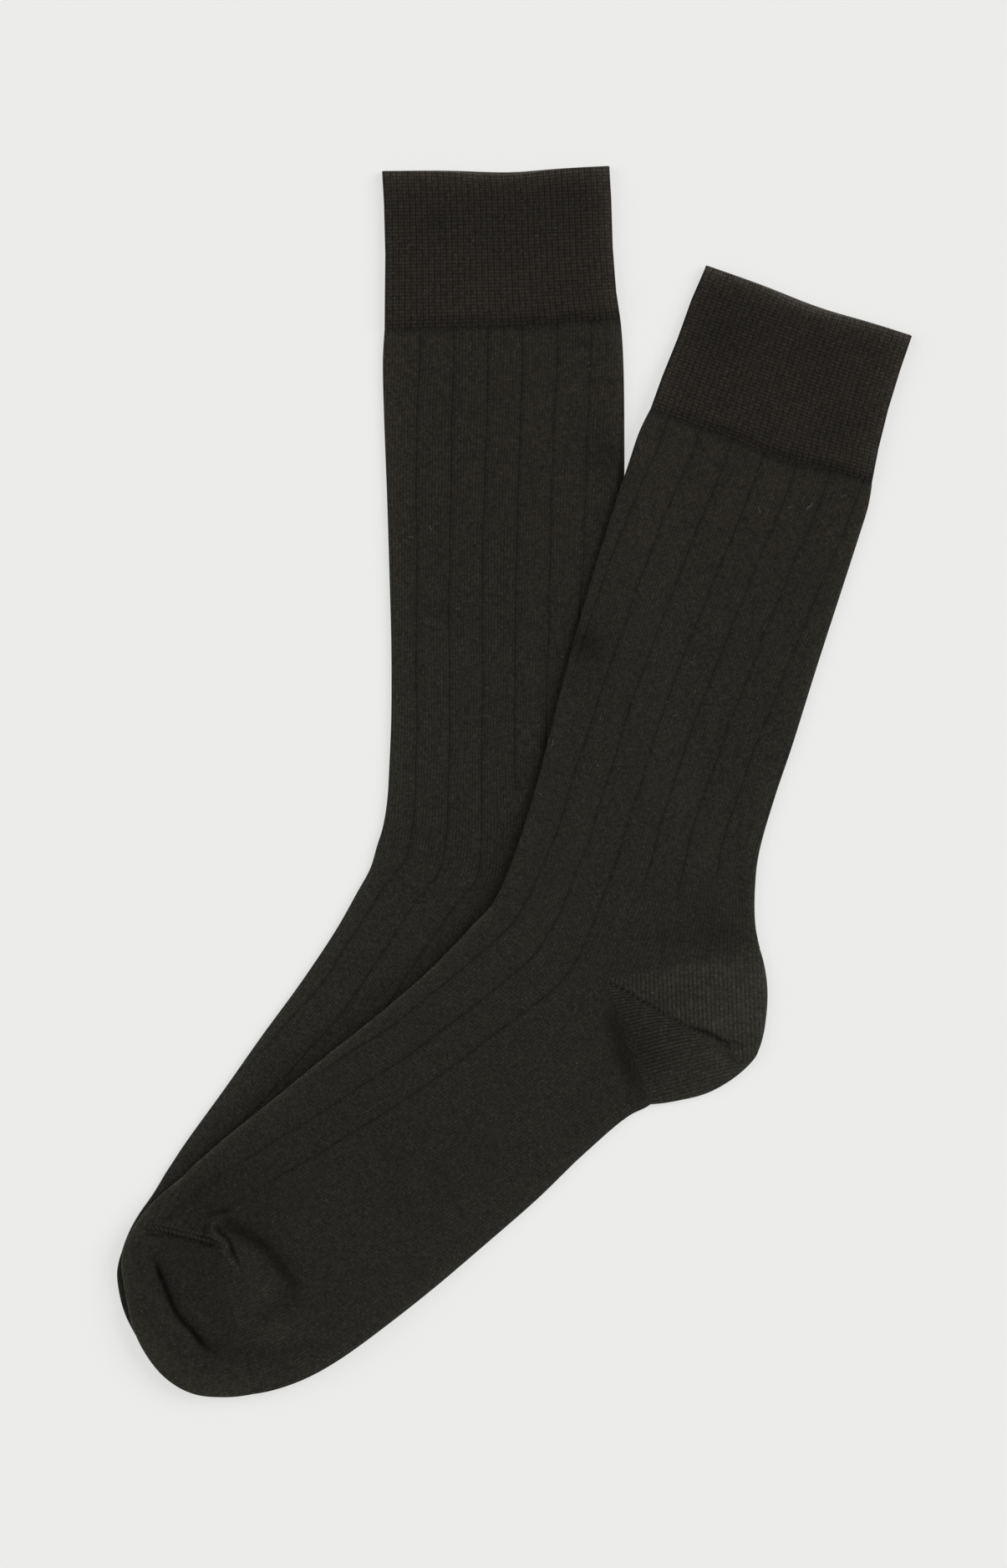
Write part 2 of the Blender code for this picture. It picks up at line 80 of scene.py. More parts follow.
# A painted highlight towards each folded edge and the mouths, standing in for the sheen of the
# fuzz: how much, and over what length it fades.
EDGE_HIGHLIGHT = {
    "over front": (0.16, 2.6), "over back": (0.38, 2.6), "under front": (0.45, 3.8),
    "under back": (0.38, 2.6), "welt front": (0.38, 3.4), "welt back": (0.48, 4.6),
    "heel": (0.3, 3.2), "toe": (0.62, 4.5), "over mouth": (2.1, 1.9), "under mouth": (1.3, 2.2),
    "toe back": (0.36, 11), "rim": (1, 0.7),
}
# Painted shade on the lower sock beside the upper one: how much, how far out, and the height in
# the pair from which down it is so, with the height over which it sets in.
BESIDE_SHADE = (-0.27, 11.0, 30.0, 80.0)
# The thin painted highlight along the upper sock's rim runs as far round the toe as this
# direction, and the broad painted highlight on the toe's back edge sets in from the other.
RIM_END = 250
TOE_BACK = 225
SLOT_ROUND = 0.8
POCKET_RISE = 8.0  # a pocket swells from the leg's thickness to its own over this width
GROOVE_HALF = 0.75
# Where the columns of faces stand: as shares of the way from the front edge to the first groove,
# beside a groove as multiples of the finest column, and in from a folded edge.
EDGE_COLUMNS = (0, 0.03, 0.08, 0.15, 0.24, 0.36, 0.5, 0.65, 0.8, 0.92)
GROOVE_COLUMNS = (0, 1.0, 2.0, 3.4)
BOTTOM_COLUMNS = (0.12, 0.4, 0.9, 1.6, 2.5, 3.4)
POCKET_COLUMNS = (0.12, 0.4, 0.8, 1.3, 1.9, 2.6, 3.4)
INSIDE_COLUMNS = (0.6, 1.5)
APPROACH = 45.0  # height below which the wales behind the side line spread towards the heel
COURSE_TILT = 0.28
NEAREST_LINE = 1.2
LINE_PACKING = 0.9
LINE_FADE = 2.0
LINE_END = 103.0  # how far along the foot the lines begin to fade, and the share that they lose
LINE_LOSS = 0.65
RIB_WALES = 11
WELT_RIBS = 38
WELT_RIB_START = 0.7
WELT_LIP = 0.9
# Bells along the mouth and the base of a welt: height, middle and width.
MOUTH_DIP = (1.8, 2.0, 17.0)
MOUTH_PEEK = (0.9, 0.0, 18.0)
CUFF_SAG = (1.1, 5.0, 11.0)
PEEK_LEAST = 0.25
DIP_REACH = 9.0
SAG_REACH = 12.0
# The base of a welt gets painted shade, and more along the row that hooks it down: all of the row
# and its dots, the pits. The painted shade grows to the right, by a share for each millimetre.
BASE_SHADE = 0.1
HOOK_SHADE = (0.04, 0.14)
BASE_SHADE_SLOPE = 0.012
LEG_TOP_SHADE = 0.32  # and the leg just under it gets painted shade too
WELT_DIP = 1.3  # the welt is drawn down to the leg's thickness at its base
WELT_DIP_REACH = 4.5
WELT_ROWS = 4  # rows of faces to a course
LIP_DEGREES = (90, 67, 45, 22)
LIP_THINNING = 0.5
INNER_LIP = 0.8  # how high the lip starts inside, as a share of its height
LIFT = 3.8
LIFT_MARGIN = 2.0
LIFT_RAMP = 22.0
FOLD_REACH = 4.0  # how far from an edge the folds are whole, and the grooves and ribs
RELIEF_REACH = 1.5
FOLD_ENDS = 0.5  # what is left of a fold at the two ends of its path
FOLD_FADE = 0.13  # share of its path over which a fold comes in from an end
PALE_FROM = (7.0, 0.3)  # the heel is paler below a line: its height at the corner, and its rise
GORE_PULL = 1.6  # wales by which the knit under a gore is drawn towards its corner
GORE_PULL_REACH = 2.6
POCKET_CLOSES = 0.85  # share of its openness that a pocket's knit loses towards its folded edge

Sock = namedtuple("Sock", "name corner_x corner_y turn bend raised")
SOCKS = (
    # name, heel corner in the pair, turn, extra ankle bend (degrees), lies on the other
    Sock("under", -1.35, -38.4, 1.2, -2.4, False),
    Sock("over", 32.85, -70.8, -16.6, 0.0, True),
)

# side_x side_y front_deg front back_deg back rib bend: a section across the flat tube, from its
# side line to its front and back edges. rib is the width of a wide rib, and bend the share of the
# ankle's bend.
SIDE_X, SIDE_Y, FRONT_DEG, FRONT, BACK_DEG, BACK, RIB, BEND = range(8)
WELT = {
    "over": (
        (12, 252.5, 177.4, 50.9, -1.7, 27.2, 12.3, 0),
        (12, 240, 177.2, 52.4, -0.8, 26.7, 12.3, 0), (12, 225, 177, 53.2, 0, 26.6, 12.3, 0),
        (12.2, 210, 176.8, 54.8, 0.9, 27.1, 12.3, 0),
        (12.6, 197.45, 176.5, 55.9, 1.8, 27.9, 12.3, 0),
    ),
    "under": (
        (8.4, 257, 179.4, 49.1, 1.1, 32.5, 12.3, 0), (8.4, 246.4, 179.6, 48.7, 1, 32.9, 12.3, 0),
        (8.4, 228.4, 179.8, 48.6, 1.2, 33.1, 12.3, 0), (8.4, 212.4, 180, 49.1, 2, 34, 12.3, 0),
        (8.4, 202.05, 180.1, 49.4, 2.8, 35.3, 12.3, 0),
    ),
}
LEG = {
    "over": (
        (12.6, 197.45, 176.5, 55.9, 1.8, 27.9, 12.3, 0),
        (12.4, 189, 177.5, 57.2, 1, 29.3, 12.3, 0), (11.6, 178, 178.5, 56.8, 0.5, 30, 12.4, 0),
        (9.5, 160, 180, 55.1, 0, 31.7, 12.4, 0), (6.6, 130, 180, 52.5, 0, 33.9, 12.2, 0),
        (4.1, 100, 180, 49.4, 0, 36, 11.8, 0), (3.3, 80, 180, 47.8, 0, 36.1, 11.6, 0),
        (2.7, 60, 180, 46.5, 0, 36.9, 11.6, 0), (3.1, 45, 179, 46.9, 1.5, 39, 11.8, 0),
        (3, 30, 176, 47.4, 6, 42.9, 12.4, 0), (2.2, 15, 172, 48, 17, 48.2, 12.6, 0.3),
        (0, 0, 163.2, 48.9, 28.2, 56.3, 13, 0.5),
    ),
    "under": (
        (8.4, 202.05, 180.1, 49.4, 2.8, 35.3, 12.3, 0), (8.2, 190, 180, 50.1, 1, 36.2, 12.3, 0),
        (7.2, 172, 180, 49.1, 0, 37.2, 12.3, 0), (5.6, 142, 180, 47, 0, 38.2, 12.2, 0),
        (4.2, 112, 180, 45.3, 0, 38.5, 11.9, 0), (3.4, 88, 180, 44.4, 0, 38.4, 11.8, 0),
        (2.7, 64, 180, 44.2, 0, 38.3, 11.7, 0), (2.2, 46, 179, 44.7, 1.5, 39.6, 11.8, 0),
        (2.7, 30, 176, 46.4, 6, 42.9, 12.3, 0), (2, 15, 172, 48.4, 17, 48.3, 12.6, 0.3),
        (0, 0, 163.2, 50.4, 28.2, 56.3, 13, 0.5),
    ),
}
FOOT_START = {BACK_DEG: -53.7, BACK: 47.5}  # the ankle section again, below the heel pocket
INSTEP = {
    "over": (
        (-3.3, -11.4, 159, 50.7, -52.2, 41.5, 13.6, 0.75),
        (-11.2, -22.1, 155, 48.1, -47.1, 40.8, 13.1, 1),
        (-23.2, -38.5, 151, 45.2, -38.6, 41.3, 12.8, 1),
    ),
    "under": (
        (-7.9, -9.6, 159, 45.7, -49, 45.8, 12.4, 0.75),
        (-15.1, -20.3, 155, 43.8, -45, 44.8, 12.2, 1),
        (-25.5, -37.2, 151, 42.6, -38, 43.9, 12.2, 1),
    ),
}
FOOT = (
    (-38.2, -58.7, 147, 43.4, -34, 44.1, 12.5, 1), (-54.5, -77.5, 145, 40.8, -34, 47.8, 12.3, 1),
    (-71.3, -96, 142, 37.3, -35, 51.7, 12, 1), (-88.1, -114.5, 140, 34.1, -39, 54.6, 11.8, 1),
    (-96.5, -123.5, 140, 31.8, -45, 55.5, 11.6, 1),
    (-101.5, -129.5, 150, 30.2, -51, 54.2, 11.4, 1), (-105, -133, 180, 31.8, -60, 52.3, 11, 1),
)
# Width of a wale on the back half: by height on the leg, and by place along the foot.
LEG_BACK_WALE = ((0, 15, 30, 45, 60, 200), (1.462, 1.34, 1.2, 1.09, 1.06, 1.118))
FOOT_BACK_WALE = ((0, 2, 4, 6, 8, 10), (1.234, 1.16, 1.12, 1.13, 1.18, 1.16))
# How open the knit is: the two fronts, the backs and the feet.
STRETCH = {"over": -0.08, "under": 0.04, "back": -0.05, "foot": -0.1}
COURSE = {"welt": 1.254, "leg": 0.85, "foot": 0.74, "pocket": 0.86}
BACK_LINE_ENDS = (32.0, 36.0, 42.0)  # height at which each groove behind the side line ends

# A pocket is a fan of rows about its corner: each row's direction and its length to the edge.
# wales are the widths of a wale above and below its gore, grain the directions across them and
# stretch how open they are. pale is how much paler the knit is drawn above the gore.
Pocket = namedtuple("Pocket", "corner bend rows gore wales grain stretch pale")
HEEL = Pocket(
    corner=(0, 0),
    bend=0.5,
    rows=(
        (28.2, 56.3), (16.5, 57.7), (4.8, 58.9), (-6.9, 60.3), (-13.6, 59.9), (-30.3, 55),
        (-42, 50.7), (-53.7, 47.5),
    ),
    gore=-13.6,
    wales=(1.55, 1.37),
    grain=(18.6, -57.4),
    stretch=(0.3, 0.6),
    pale=0.14,
)
TOE = Pocket(
    corner=(-105, -133),
    bend=1,
    rows=(
        (180, 31.8), (192, 34), (204, 35.2), (216, 36.1), (228, 38.2), (247.8, 44.1), (264, 49.2),
        (276, 51.6), (288, 52), (300, 52.3),
    ),
    gore=247.8,
    wales=(1, 1.16),
    grain=(180, 300),
    stretch=(0, 0),
    pale=0,
)

# How much farther out the toe of the lower sock lies at its left: middle and width of the place in
# degrees, and millimetres.
UNDER_TOE = (222.0, 14.0, 1.5)

# Folds of a sock's top face: height, the shade painted along it (darker below 0, paler above), the
# width over which each dies out left and right of its path, and the path.
TOE_CREASE = (
    (-126.9, -142.4), (-125, -144.6), (-122.5, -147.7), (-119.5, -151.5), (-116.4, -155.5),
    (-113.3, -158.7), (-109.8, -161.1), (-106, -163.1), (-102.4, -165.8), (-99.4, -167.4),
)
HEEL_CREASE = (
    (30.6, -8.1), (33.7, -8.1), (36.9, -8.1), (40.3, -8), (43.6, -8.6), (46.4, -9.6),
    (49.2, -10.7),
)
TOE_ARC = (
    (-105, -123.3), (-99.2, -124.1), (-94.2, -125.1), (-89.5, -127.2), (-85.5, -129.8),
    (-81.2, -132.6), (-77.4, -135.6), (-75, -138.6), (-74.9, -141.4),
)
FOLDS = {
    "over": (
        # toe: its crease, and the lip at the left of it with a painted highlight
        (-0.9, -0.63, 2.3, 1.3, TOE_CREASE[1:]),
        (-0.4, -0.2, 1.4, 1, TOE_CREASE[:3]),
        (-0.6, -0.18, 6, 1.8, TOE_CREASE),
        (0.65, 0.1, 0.8, 7.5, (
            (-128.3, -146), (-126, -149.2), (-122.6, -153.8), (-118.8, -158.4), (-115, -161.7),
            (-110.2, -164.3), (-105.8, -166.2),
        )),
        (-0.5, -0.2, 5, 5, ((-102.4, -165.8), (-99.7, -167.5), (-94.8, -168.2))),
        (-0.35, -0.13, 5.5, 5.5, (
            (-94.8, -168.2), (-86.5, -166.7), (-75.3, -162.1), (-63.9, -156.2),
        )),
        # the linking row and the pucker at its end
        (-0.4, -0.44, 1.4, 1.7, (
            (-131.2, -134.3), (-124.9, -132.4), (-118.8, -131.8), (-112.6, -131.6),
        )),
        (-0.3, -0.16, 2.2, 2.2, ((-134.2, -139.9), (-133, -136.7), (-131.2, -134.3))),
        (-0.7, -0.45, 1.3, 2, ((-112.5, -131.8), (-109.4, -131.8), (-107, -131.4))),
        (1, 0.3, 1.7, 1.7, (
            (-107.4, -119.7), (-109.3, -121.8), (-110.1, -124.2), (-109.5, -127.2),
        )),
        (1.1, 0.32, 2, 2.2, (
            (-109.4, -127.5), (-106.6, -128.5), (-104, -129), (-103, -130.2), (-104, -132.1),
        )),
        (0.8, 0.2, 1.4, 1.6, ((-104.4, -131.9), (-101.5, -134.2), (-97.2, -137))),
        (-0.5, -0.32, 1.3, 1.3, ((-113.3, -120.8), (-109.3, -119.6), (-105.5, -117.5))),
        (-0.6, -0.3, 1.4, 1.4, ((-112.5, -125.6), (-112.1, -128), (-112.1, -131.1))),
        (-0.9, -0.45, 1.5, 1.4, (
            (-108.4, -124.7), (-106.6, -126.3), (-104.1, -127.5), (-102, -129.3),
            (-100.3, -131.9), (-97.2, -134.8),
        )),
        # the arc round the mound, and the mound
        (-0.6, -0.3, 3.8, 3.2, TOE_ARC),
        (-0.4, -0.2, 8, 5, TOE_ARC[:-2]),
        (-0.4, -0.14, 4, 4, ((-75.6, -142.4), (-79.2, -146.6), (-82.5, -150.7), (-84.7, -153.6))),
        (0.65, 0.18, 8, 8, ((-85.5, -140.7), (-86.8, -146.7))),
        (0.4, 0.1, 7, 7, ((-97.7, -131.2), (-92.2, -137))),
        (0.3, 0.13, 8, 8, ((-80, -154.7), (-72.5, -156.9))),
        (-0.12, -0.12, 1.2, 1.2, (
            (-104.1, -136.9), (-107.8, -142.3), (-110.5, -148.1), (-114.4, -151.8),
        )),
        (-0.45, -0.16, 3, 3, (
            (-111.1, -105.1), (-116.6, -113), (-121, -119), (-124, -123.7), (-126.7, -128.3),
        )),
        # heel: the valley in front, the gore and the crease at the gore's end
        (-0.45, -0.1, 6.5, 4, (
            (3.2, -8.7), (6.3, -14.7), (9.6, -21.6), (13, -26.8), (17.6, -31.7), (21.4, -34.9),
            (25.4, -36.9),
        )),
        (-0.3, -0.21, 16, 4.5, ((4.5, -10), (11.5, -23), (21.4, -34.9))),
        (-0.35, -0.16, 3, 3, ((18.2, -40), (21.8, -39.5), (24.5, -37))),
        (-0.5, -0.28, 1.2, 1.2, (
            (-0.6, -0.3), (7.4, -1.9), (14.9, -3.7), (22, -5.6), (32, -7.9),
        )),
        (-1, -0.36, 1.2, 1.4, HEEL_CREASE[1:]),
        (-0.5, -0.12, 2, 3.2, HEEL_CREASE),
        (-0.6, -0.28, 1.6, 1.6, ((46.9, -9.2), (49.9, -8.9), (54.6, -8.6))),
        (-0.4, -0.18, 2, 2, ((47.2, -9.9), (49.6, -12.2), (51, -14.6))),
        (0.4, 0.13, 4, 3, ((32.5, -5), (39, -3.7), (44.6, -3.6))),
        (0.5, 0.14, 1.6, 2.4, ((40.9, -10.2), (44.7, -10.8))),
        (0.3, 0.08, 4, 4, ((35.3, -10.8), (42, -15), (48.1, -17.6), (54.6, -18.2))),
        (0.45, 0, 15, 15, ((38, 8), (36, -22))),
        (-0.3, -0.09, 7, 7, ((10.3, 17.8), (26.1, 22.8), (41.5, 28.7))),
        (-0.15, -0.1, 1.6, 1.6, ((37.8, 17.2), (49.6, 22.6))),
        # leg and instep
        (-0.3, -0.06, 9, 9, ((-40, 118), (-34, 96))),
        (-0.25, -0.05, 10, 10, ((30, 108), (38, 88))),
        (0.25, 0.04, 12, 12, ((-20, 60), (-24, 20), (-44, -12))),
        (-0.25, -0.06, 9, 9, ((24, 40), (34, 20))),
    ),
    "under": (
        # leg
        (-0.35, -0.06, 5, 8, ((-34, 103), (-12, 96), (12, 92))),
        (0.25, 0.04, 10, 10, ((-30, 84), (0, 78))),
        (-0.3, -0.06, 8, 8, ((26, 152), (36, 166))),
        (-0.3, -0.14, 3, 3, ((24, 196), (33, 194))),
    ),
}

# The leg's yarn has less red at the foot and more near the welt: between which heights in the
# pair, in metres, and the share of its red at each.
LEG_WARMTH = (0.0, 0.1, 0.977, 1.03)

# Soft spots where the cloth is painted darker or paler, mostly painted shade and light: x, y,
# radius, share.
TONES = {
    "over": (
        (-24.4, 231.9, 7, -0.15), (-28, 242, 12, -0.1), (7, 237.5, 6, -0.07), (23, 214, 6, -0.11),
        (-42, 110, 9, -0.1), (24, 34, 12, -0.08), (50, 8, 13, 0.2), (51, -15, 9, 0.08),
        (-42, 114, 6.5, -0.32), (-113, -125, 10, -0.14), (-117, -113, 13, -0.1),
        (-97, -106, 15, -0.08), (-92, -124, 22, -0.07), (-74, -142, 12, -0.06),
        (16.4, -22.9, 9, -0.1), (37, 80, 11, 0.1), (41, 66, 9, 0.1), (21, -18, 10, -0.13),
        (44, -19, 8, 0.06), (11, 2.5, 8, -0.11), (-61, -84, 34, -0.06), (-86, -174, 16, -0.05),
        (-112, -118, 9, -0.05),
    ),
    "under": (
        (-21, 239.3, 5, -0.16), (-30, 241, 9, -0.08), (27.5, 245.5, 8.5, -0.17),
        (4, 234, 12, -0.05), (39.5, 155.5, 6, -0.34), (-24, 46, 22, 0.05), (-5, 150, 30, -0.03),
        (-3, 241, 22, -0.05), (-8, 216, 16, 0.05),
    ),
}

# Pale lint: x, y and length.
LINT = {
    "over": (
        (-7.6, 101.5, 1.5), (-3.1, 98, 1.9), (-22.8, 67.6, 0.8), (4.5, 177.1, 2.6),
        (14.8, 181.3, 1.8), (21.4, 183.3, 3.4), (32.1, 190.6, 2.4), (-40, 9, 0.8),
        (-74, -112, 0.9), (-41, 70, 1.0), (15, -21, 0.8), (-10, 214, 0.8), (-30, 196, 0.8),
        (-3, 118, 1.6), (-9, 118, 1.2), (-42.6, 76, 2.6), (-41.5, 49, 1.4), (-41.8, 57, 1.6),
        (-21, 60, 1.4), (-24, 211, 1.2), (-65, -65, 1.3),
    ),
    "under": (
        (-17, 101, 1.6), (-8, 84, 1.0), (-33, 127, 2.0), (-26, 130, 2.4), (-31, 232, 1.2),
        (-9, 17, 1.2),
    ),
}

# Strands of a row of stitches: spacing, length, thickness, bend and rise in mm, the angle from the
# row in degrees, unevenness and seed.
STITCH_INPUTS = (
    "Spacing", "Length", "Thickness", "Bend", "Rise", "Angle", "Unevenness", "Seed",
)
GORE_STITCH = (2.1, 2.8, 0.5, 0.3, 0.2, 84, 0.12, 4)
LINKING_STITCHES = (
    (1.5, 1.9, 0.5, 0.1, 0.25, 24, 0.16, 11),
    (1.5, 1.9, 0.5, 0.1, 0.25, -24, 0.16, 12),
)
WELT_STITCH = (2.1, 2.1, 0.24, 0.25, 0.2, 74, 0.2, 23)
GORE_PATH = (
    (0.8, -0.7), (5.5, -1.5), (10.8, -2.7), (16.9, -4.2), (22, -5.6), (27.3, -6.7), (31, -7.6),
)
LINKING_PATHS = (
    (
        (-131.5, -130.2), (-128, -129.4), (-120, -129), (-112.6, -128.5), (-109.6, -128.2),
        (-106, -129),
    ),
    (
        (-131.5, -132), (-127.5, -131.1), (-120, -130.7), (-112.1, -130.2), (-108.6, -130),
        (-104, -131),
    ),
)
LINKING_PALE = 1.55  # how much paler than the toe its linking yarn is
# Where the row that hooks a welt down lies: in from the edges, and up from the base of the welt.
HOOKED_IN = 1.6
HOOKED_ABOVE = 0.9
LINT_FORM = (1.0, 0.5, 0.2)  # length, bend and rise of a bit of lint of size 1
RAY_FROM = 0.05  # metres above the floor from which stitches and lint are dropped on the knit

# The stage, in metres and degrees. A light comes from so far round and so far above the floor.
FLOOR_HALF = 8.0
FLOOR_DROP = 0.0002
FLOOR_BOUNCE = 0.4  # share of its colour with which the floor scatters light, beside its glow
LIGHTS = {"key": (20, 38), "fill": (172, 34)}
LIGHT_WIDTH = 42
SENSOR = 36.0
CAMERA_PLACE = (-0.0039, -0.0006)



# ---------------------------------------------------------------- plan and heights


def smooth(share):
    share = np.clip(share, 0.0, 1.0)
    return share * share * (3 - 2 * share)


def bell(place, height, middle, width):
    return height * np.exp(-(((place - middle) / width) ** 2))


def wave(turns):
    """1 at each whole turn and 0 halfway between."""
    return 0.5 + 0.5 * np.cos(2 * math.pi * turns)


def cuff_sag(sock, x):
    """How far the base of the upper sock's welt sags."""
    return bell(x, *CUFF_SAG) * sock.raised


def joined(*grids):
    """Grids side by side, as one."""
    return np.concatenate(grids, axis=1)


def turned(points, degrees):
    """Plan points turned about the heel corner. degrees may be an array with one value a point."""
    angle = np.radians(degrees)
    cos, sin = np.cos(angle), np.sin(angle)
    x, y = points[..., 0], points[..., 1]
    return np.stack([x * cos - y * sin, x * sin + y * cos], axis=-1)


def direction(degrees):
    angle = np.radians(degrees)
    return np.stack([np.cos(angle), np.sin(angle)], axis=-1)


def between(rows, places):
    """The table's rows at fractional places, on a smooth curve through every column."""
    rows = np.asarray(rows, float)
    start = np.clip(np.floor(places).astype(int), 0, len(rows) - 2)
    t = (places - start)[:, None]
    last = len(rows) - 1
    a, b = rows[start], rows[start + 1]
    before, after = rows[np.maximum(start - 1, 0)], rows[np.minimum(start + 2, last)]
    rise, last_rise = (b - before) / 2, (after - a) / 2
    straight = a + (b - a) * t * t * (3 - 2 * t)
    return straight + rise * t * (1 - t) ** 2 - last_rise * t * t * (1 - t)


def even_places(rows, edge_points, step):
    """Places in the table so that no edge moves more than step from one to the next."""
    places = []
    for i in range(len(rows) - 1):
        longest = max(np.hypot(*(edge[i + 1] - edge[i])) for edge in edge_points)
        count = max(1, math.ceil(longest / step))
        places += [i + n / count for n in range(count)]
    return np.array(places + [len(rows) - 1.0])


def section_points(rows, distance, sock):
    """Plan points at distances from the side line, minus towards the front, a row to a section."""
    degrees = np.where(distance < 0, rows[:, FRONT_DEG, None], rows[:, BACK_DEG, None])
    side = rows[:, None, SIDE_X : SIDE_Y + 1]
    points = side + np.abs(distance)[..., None] * direction(degrees)
    return turned(points, sock.bend * rows[:, BEND, None])


def section_places(table, step):
    """Places in a table of sections, close enough for both folded edges."""
    rows = np.asarray(table, float)
    edges = [
        rows[:, :2] + rows[:, FRONT, None] * direction(rows[:, FRONT_DEG]),
        rows[:, :2] + rows[:, BACK, None] * direction(rows[:, BACK_DEG]),
    ]
    return even_places(rows, edges, step)


def foot_table(sock):
    """The foot's sections, from the ankle's lower side on."""
    ankle = list(LEG[sock.name][-1])
    for column, value in FOOT_START.items():
        ankle[column] = value
    return (tuple(ankle), *INSTEP[sock.name], *FOOT)


def body_sections(sock, step):
    """Close sections of the leg and of the foot, whose front halves run on past the ankle."""
    tables = (LEG[sock.name], foot_table(sock))
    ankle = len(tables[0]) - 1
    whole = (*tables[0], *tables[1][1:])
    found = []
    for table, first in ((tables[0], 0), (tables[1], ankle)):
        places = section_places(table, step)
        rows = between(whole, places + first)
        own = np.asarray(table, float)
        own = np.concatenate([2 * own[:1] - own[1:2], own, 2 * own[-1:] - own[-2:-1]])
        apart = between(own, places + 1)
        rows[:, BACK_DEG : BACK + 1] = apart[:, BACK_DEG : BACK + 1]
        found.append(rows)
    return found


def pocket_edge(pocket, sock, step):
    """(degrees, reach) rows of a pocket, close together, and turned with the ankle."""
    rows = np.array(pocket.rows, float)
    if pocket is TOE and not sock.raised:
        middle, width, more = UNDER_TOE
        rows[:, 1] += bell(rows[:, 0], more, middle, width)
    edge = rows[:, 1, None] * direction(rows[:, 0])
    return between(rows, even_places(rows, [edge], step))


def outline(sock):
    """The sock's outline in the plan of the pair."""
    tube = [*WELT[sock.name], *LEG[sock.name], *foot_table(sock)]
    rows = np.asarray(tube, float)
    front = section_points(rows, -rows[:, FRONT, None], sock)[:, 0]
    back = section_points(rows, rows[:, BACK, None], sock)[:, 0]
    pockets = []
    for pocket in (TOE, HEEL):
        fan = np.asarray(pocket.rows, float)
        points = np.asarray(pocket.corner) + fan[:, 1, None] * direction(fan[:, 0])
        pockets.append(turned(points, sock.bend * pocket.bend))
    above = len(WELT[sock.name]) + len(LEG[sock.name])
    loop = [front, pockets[0], back[above:][::-1], pockets[1][::-1], back[:above][::-1]]
    return in_pair(sock, np.concatenate(loop))


def in_pair(sock, points):
    return turned(points, sock.turn) + (sock.corner_x, sock.corner_y)


def to_line(x, y, a, b):
    """Distance to the line from a to b, and the share of it at which the nearest point lies."""
    along = b - a
    share = ((x - a[0]) * along[0] + (y - a[1]) * along[1]) / (along @ along)
    share = np.clip(share, 0, 1)
    return np.hypot(x - a[0] - along[0] * share, y - a[1] - along[1] * share), share


def distance_outside(points, loop):
    """0 inside the loop, else the distance to it."""
    nearest = np.full(len(points), np.inf)
    inside = np.zeros(len(points), bool)
    x, y = points[:, 0], points[:, 1]
    for a, b in zip(loop, np.roll(loop, -1, axis=0)):
        if (a == b).all():
            continue
        nearest = np.minimum(nearest, to_line(x, y, a, b)[0])
        if a[1] != b[1]:
            crosses = (a[1] > y) != (b[1] > y)
            inside ^= crosses & (x < a[0] + (y - a[1]) * (b[0] - a[0]) / (b[1] - a[1]))
    return np.where(inside, 0.0, nearest)


UNDER_OUTLINE, OVER_OUTLINE = (outline(sock) for sock in SOCKS)


def lift(sock, points):
    """How far the cloth is carried up by the sock beneath it."""
    if not sock.raised:
        return np.zeros(points.shape[:-1])
    flat = in_pair(sock, points).reshape(-1, 2)
    clear = distance_outside(flat, UNDER_OUTLINE) - LIFT_MARGIN
    return (LIFT * (1 - smooth(clear / LIFT_RAMP))).reshape(points.shape[:-1])


def fold_shares(sock, points):
    """Each fold's height and painted shade, with how much of it reaches each point, 1 on its path.
    """
    x, y = points[..., 0], points[..., 1]
    for height, shade, width_left, width_right, path in FOLDS[sock.name]:
        nearest = np.full(x.shape, np.inf)
        left = np.zeros(x.shape, bool)
        place = np.zeros(x.shape)
        path = np.asarray(path, float)
        run = run_length(path)
        for a, b, start in zip(path, path[1:], run):
            along = b - a
            gap, share = to_line(x, y, a, b)
            closer = gap < nearest
            nearest = np.where(closer, gap, nearest)
            beside = along[0] * (y - a[1]) - along[1] * (x - a[0]) > 0
            left = np.where(closer, beside, left)
            place = np.where(closer, (start + share * np.hypot(*along)) / run[-1], place)
        ends = FOLD_ENDS + (1 - FOLD_ENDS) * smooth(np.minimum(place, 1 - place) / FOLD_FADE)
        yield height, shade, ends * (1 - smooth(nearest / np.where(left, width_left, width_right)))


def fold_height(sock, points):
    """Height that folds and the slack of the knit add to the top face."""
    x, y = points[..., 0], points[..., 1]
    total = 0.07 * np.sin(x / 9.1 + y / 23.0) + 0.08 * np.sin(y / 17.3 - x / 31.0 + 1.3)
    total += 0.05 * np.sin(x / 4.7 - y / 11.0 + 0.6) * np.sin(y / 29.0 + 0.4)
    for height, _, share in fold_shares(sock, points):
        total = total + height * share
    return total


def painted_shading_at(sock, points):
    """Painted shade and highlight on the cloth: its soft spots, its folds, and on the lower sock
    the painted shade beside the upper one.
    """
    x, y = points[..., 0], points[..., 1]
    total = np.zeros(x.shape)
    for middle_x, middle_y, radius, share in TONES[sock.name]:
        total += share * np.exp(-(((x - middle_x) ** 2 + (y - middle_y) ** 2) / radius**2))
    for _, shade, share in fold_shares(sock, points):
        total += shade * share
    # Painted shade on the lower sock beside the upper one's outline.
    if not sock.raised:
        most, reach, start, length = BESIDE_SHADE
        flat = in_pair(sock, points)
        gap = distance_outside(flat.reshape(-1, 2), OVER_OUTLINE).reshape(x.shape)
        near = smooth((gap + 0.6) / 2.0) * (1 - smooth((gap - 1.0) / reach))
        total += most * near * smooth((start - flat[..., 1]) / length)
    return total


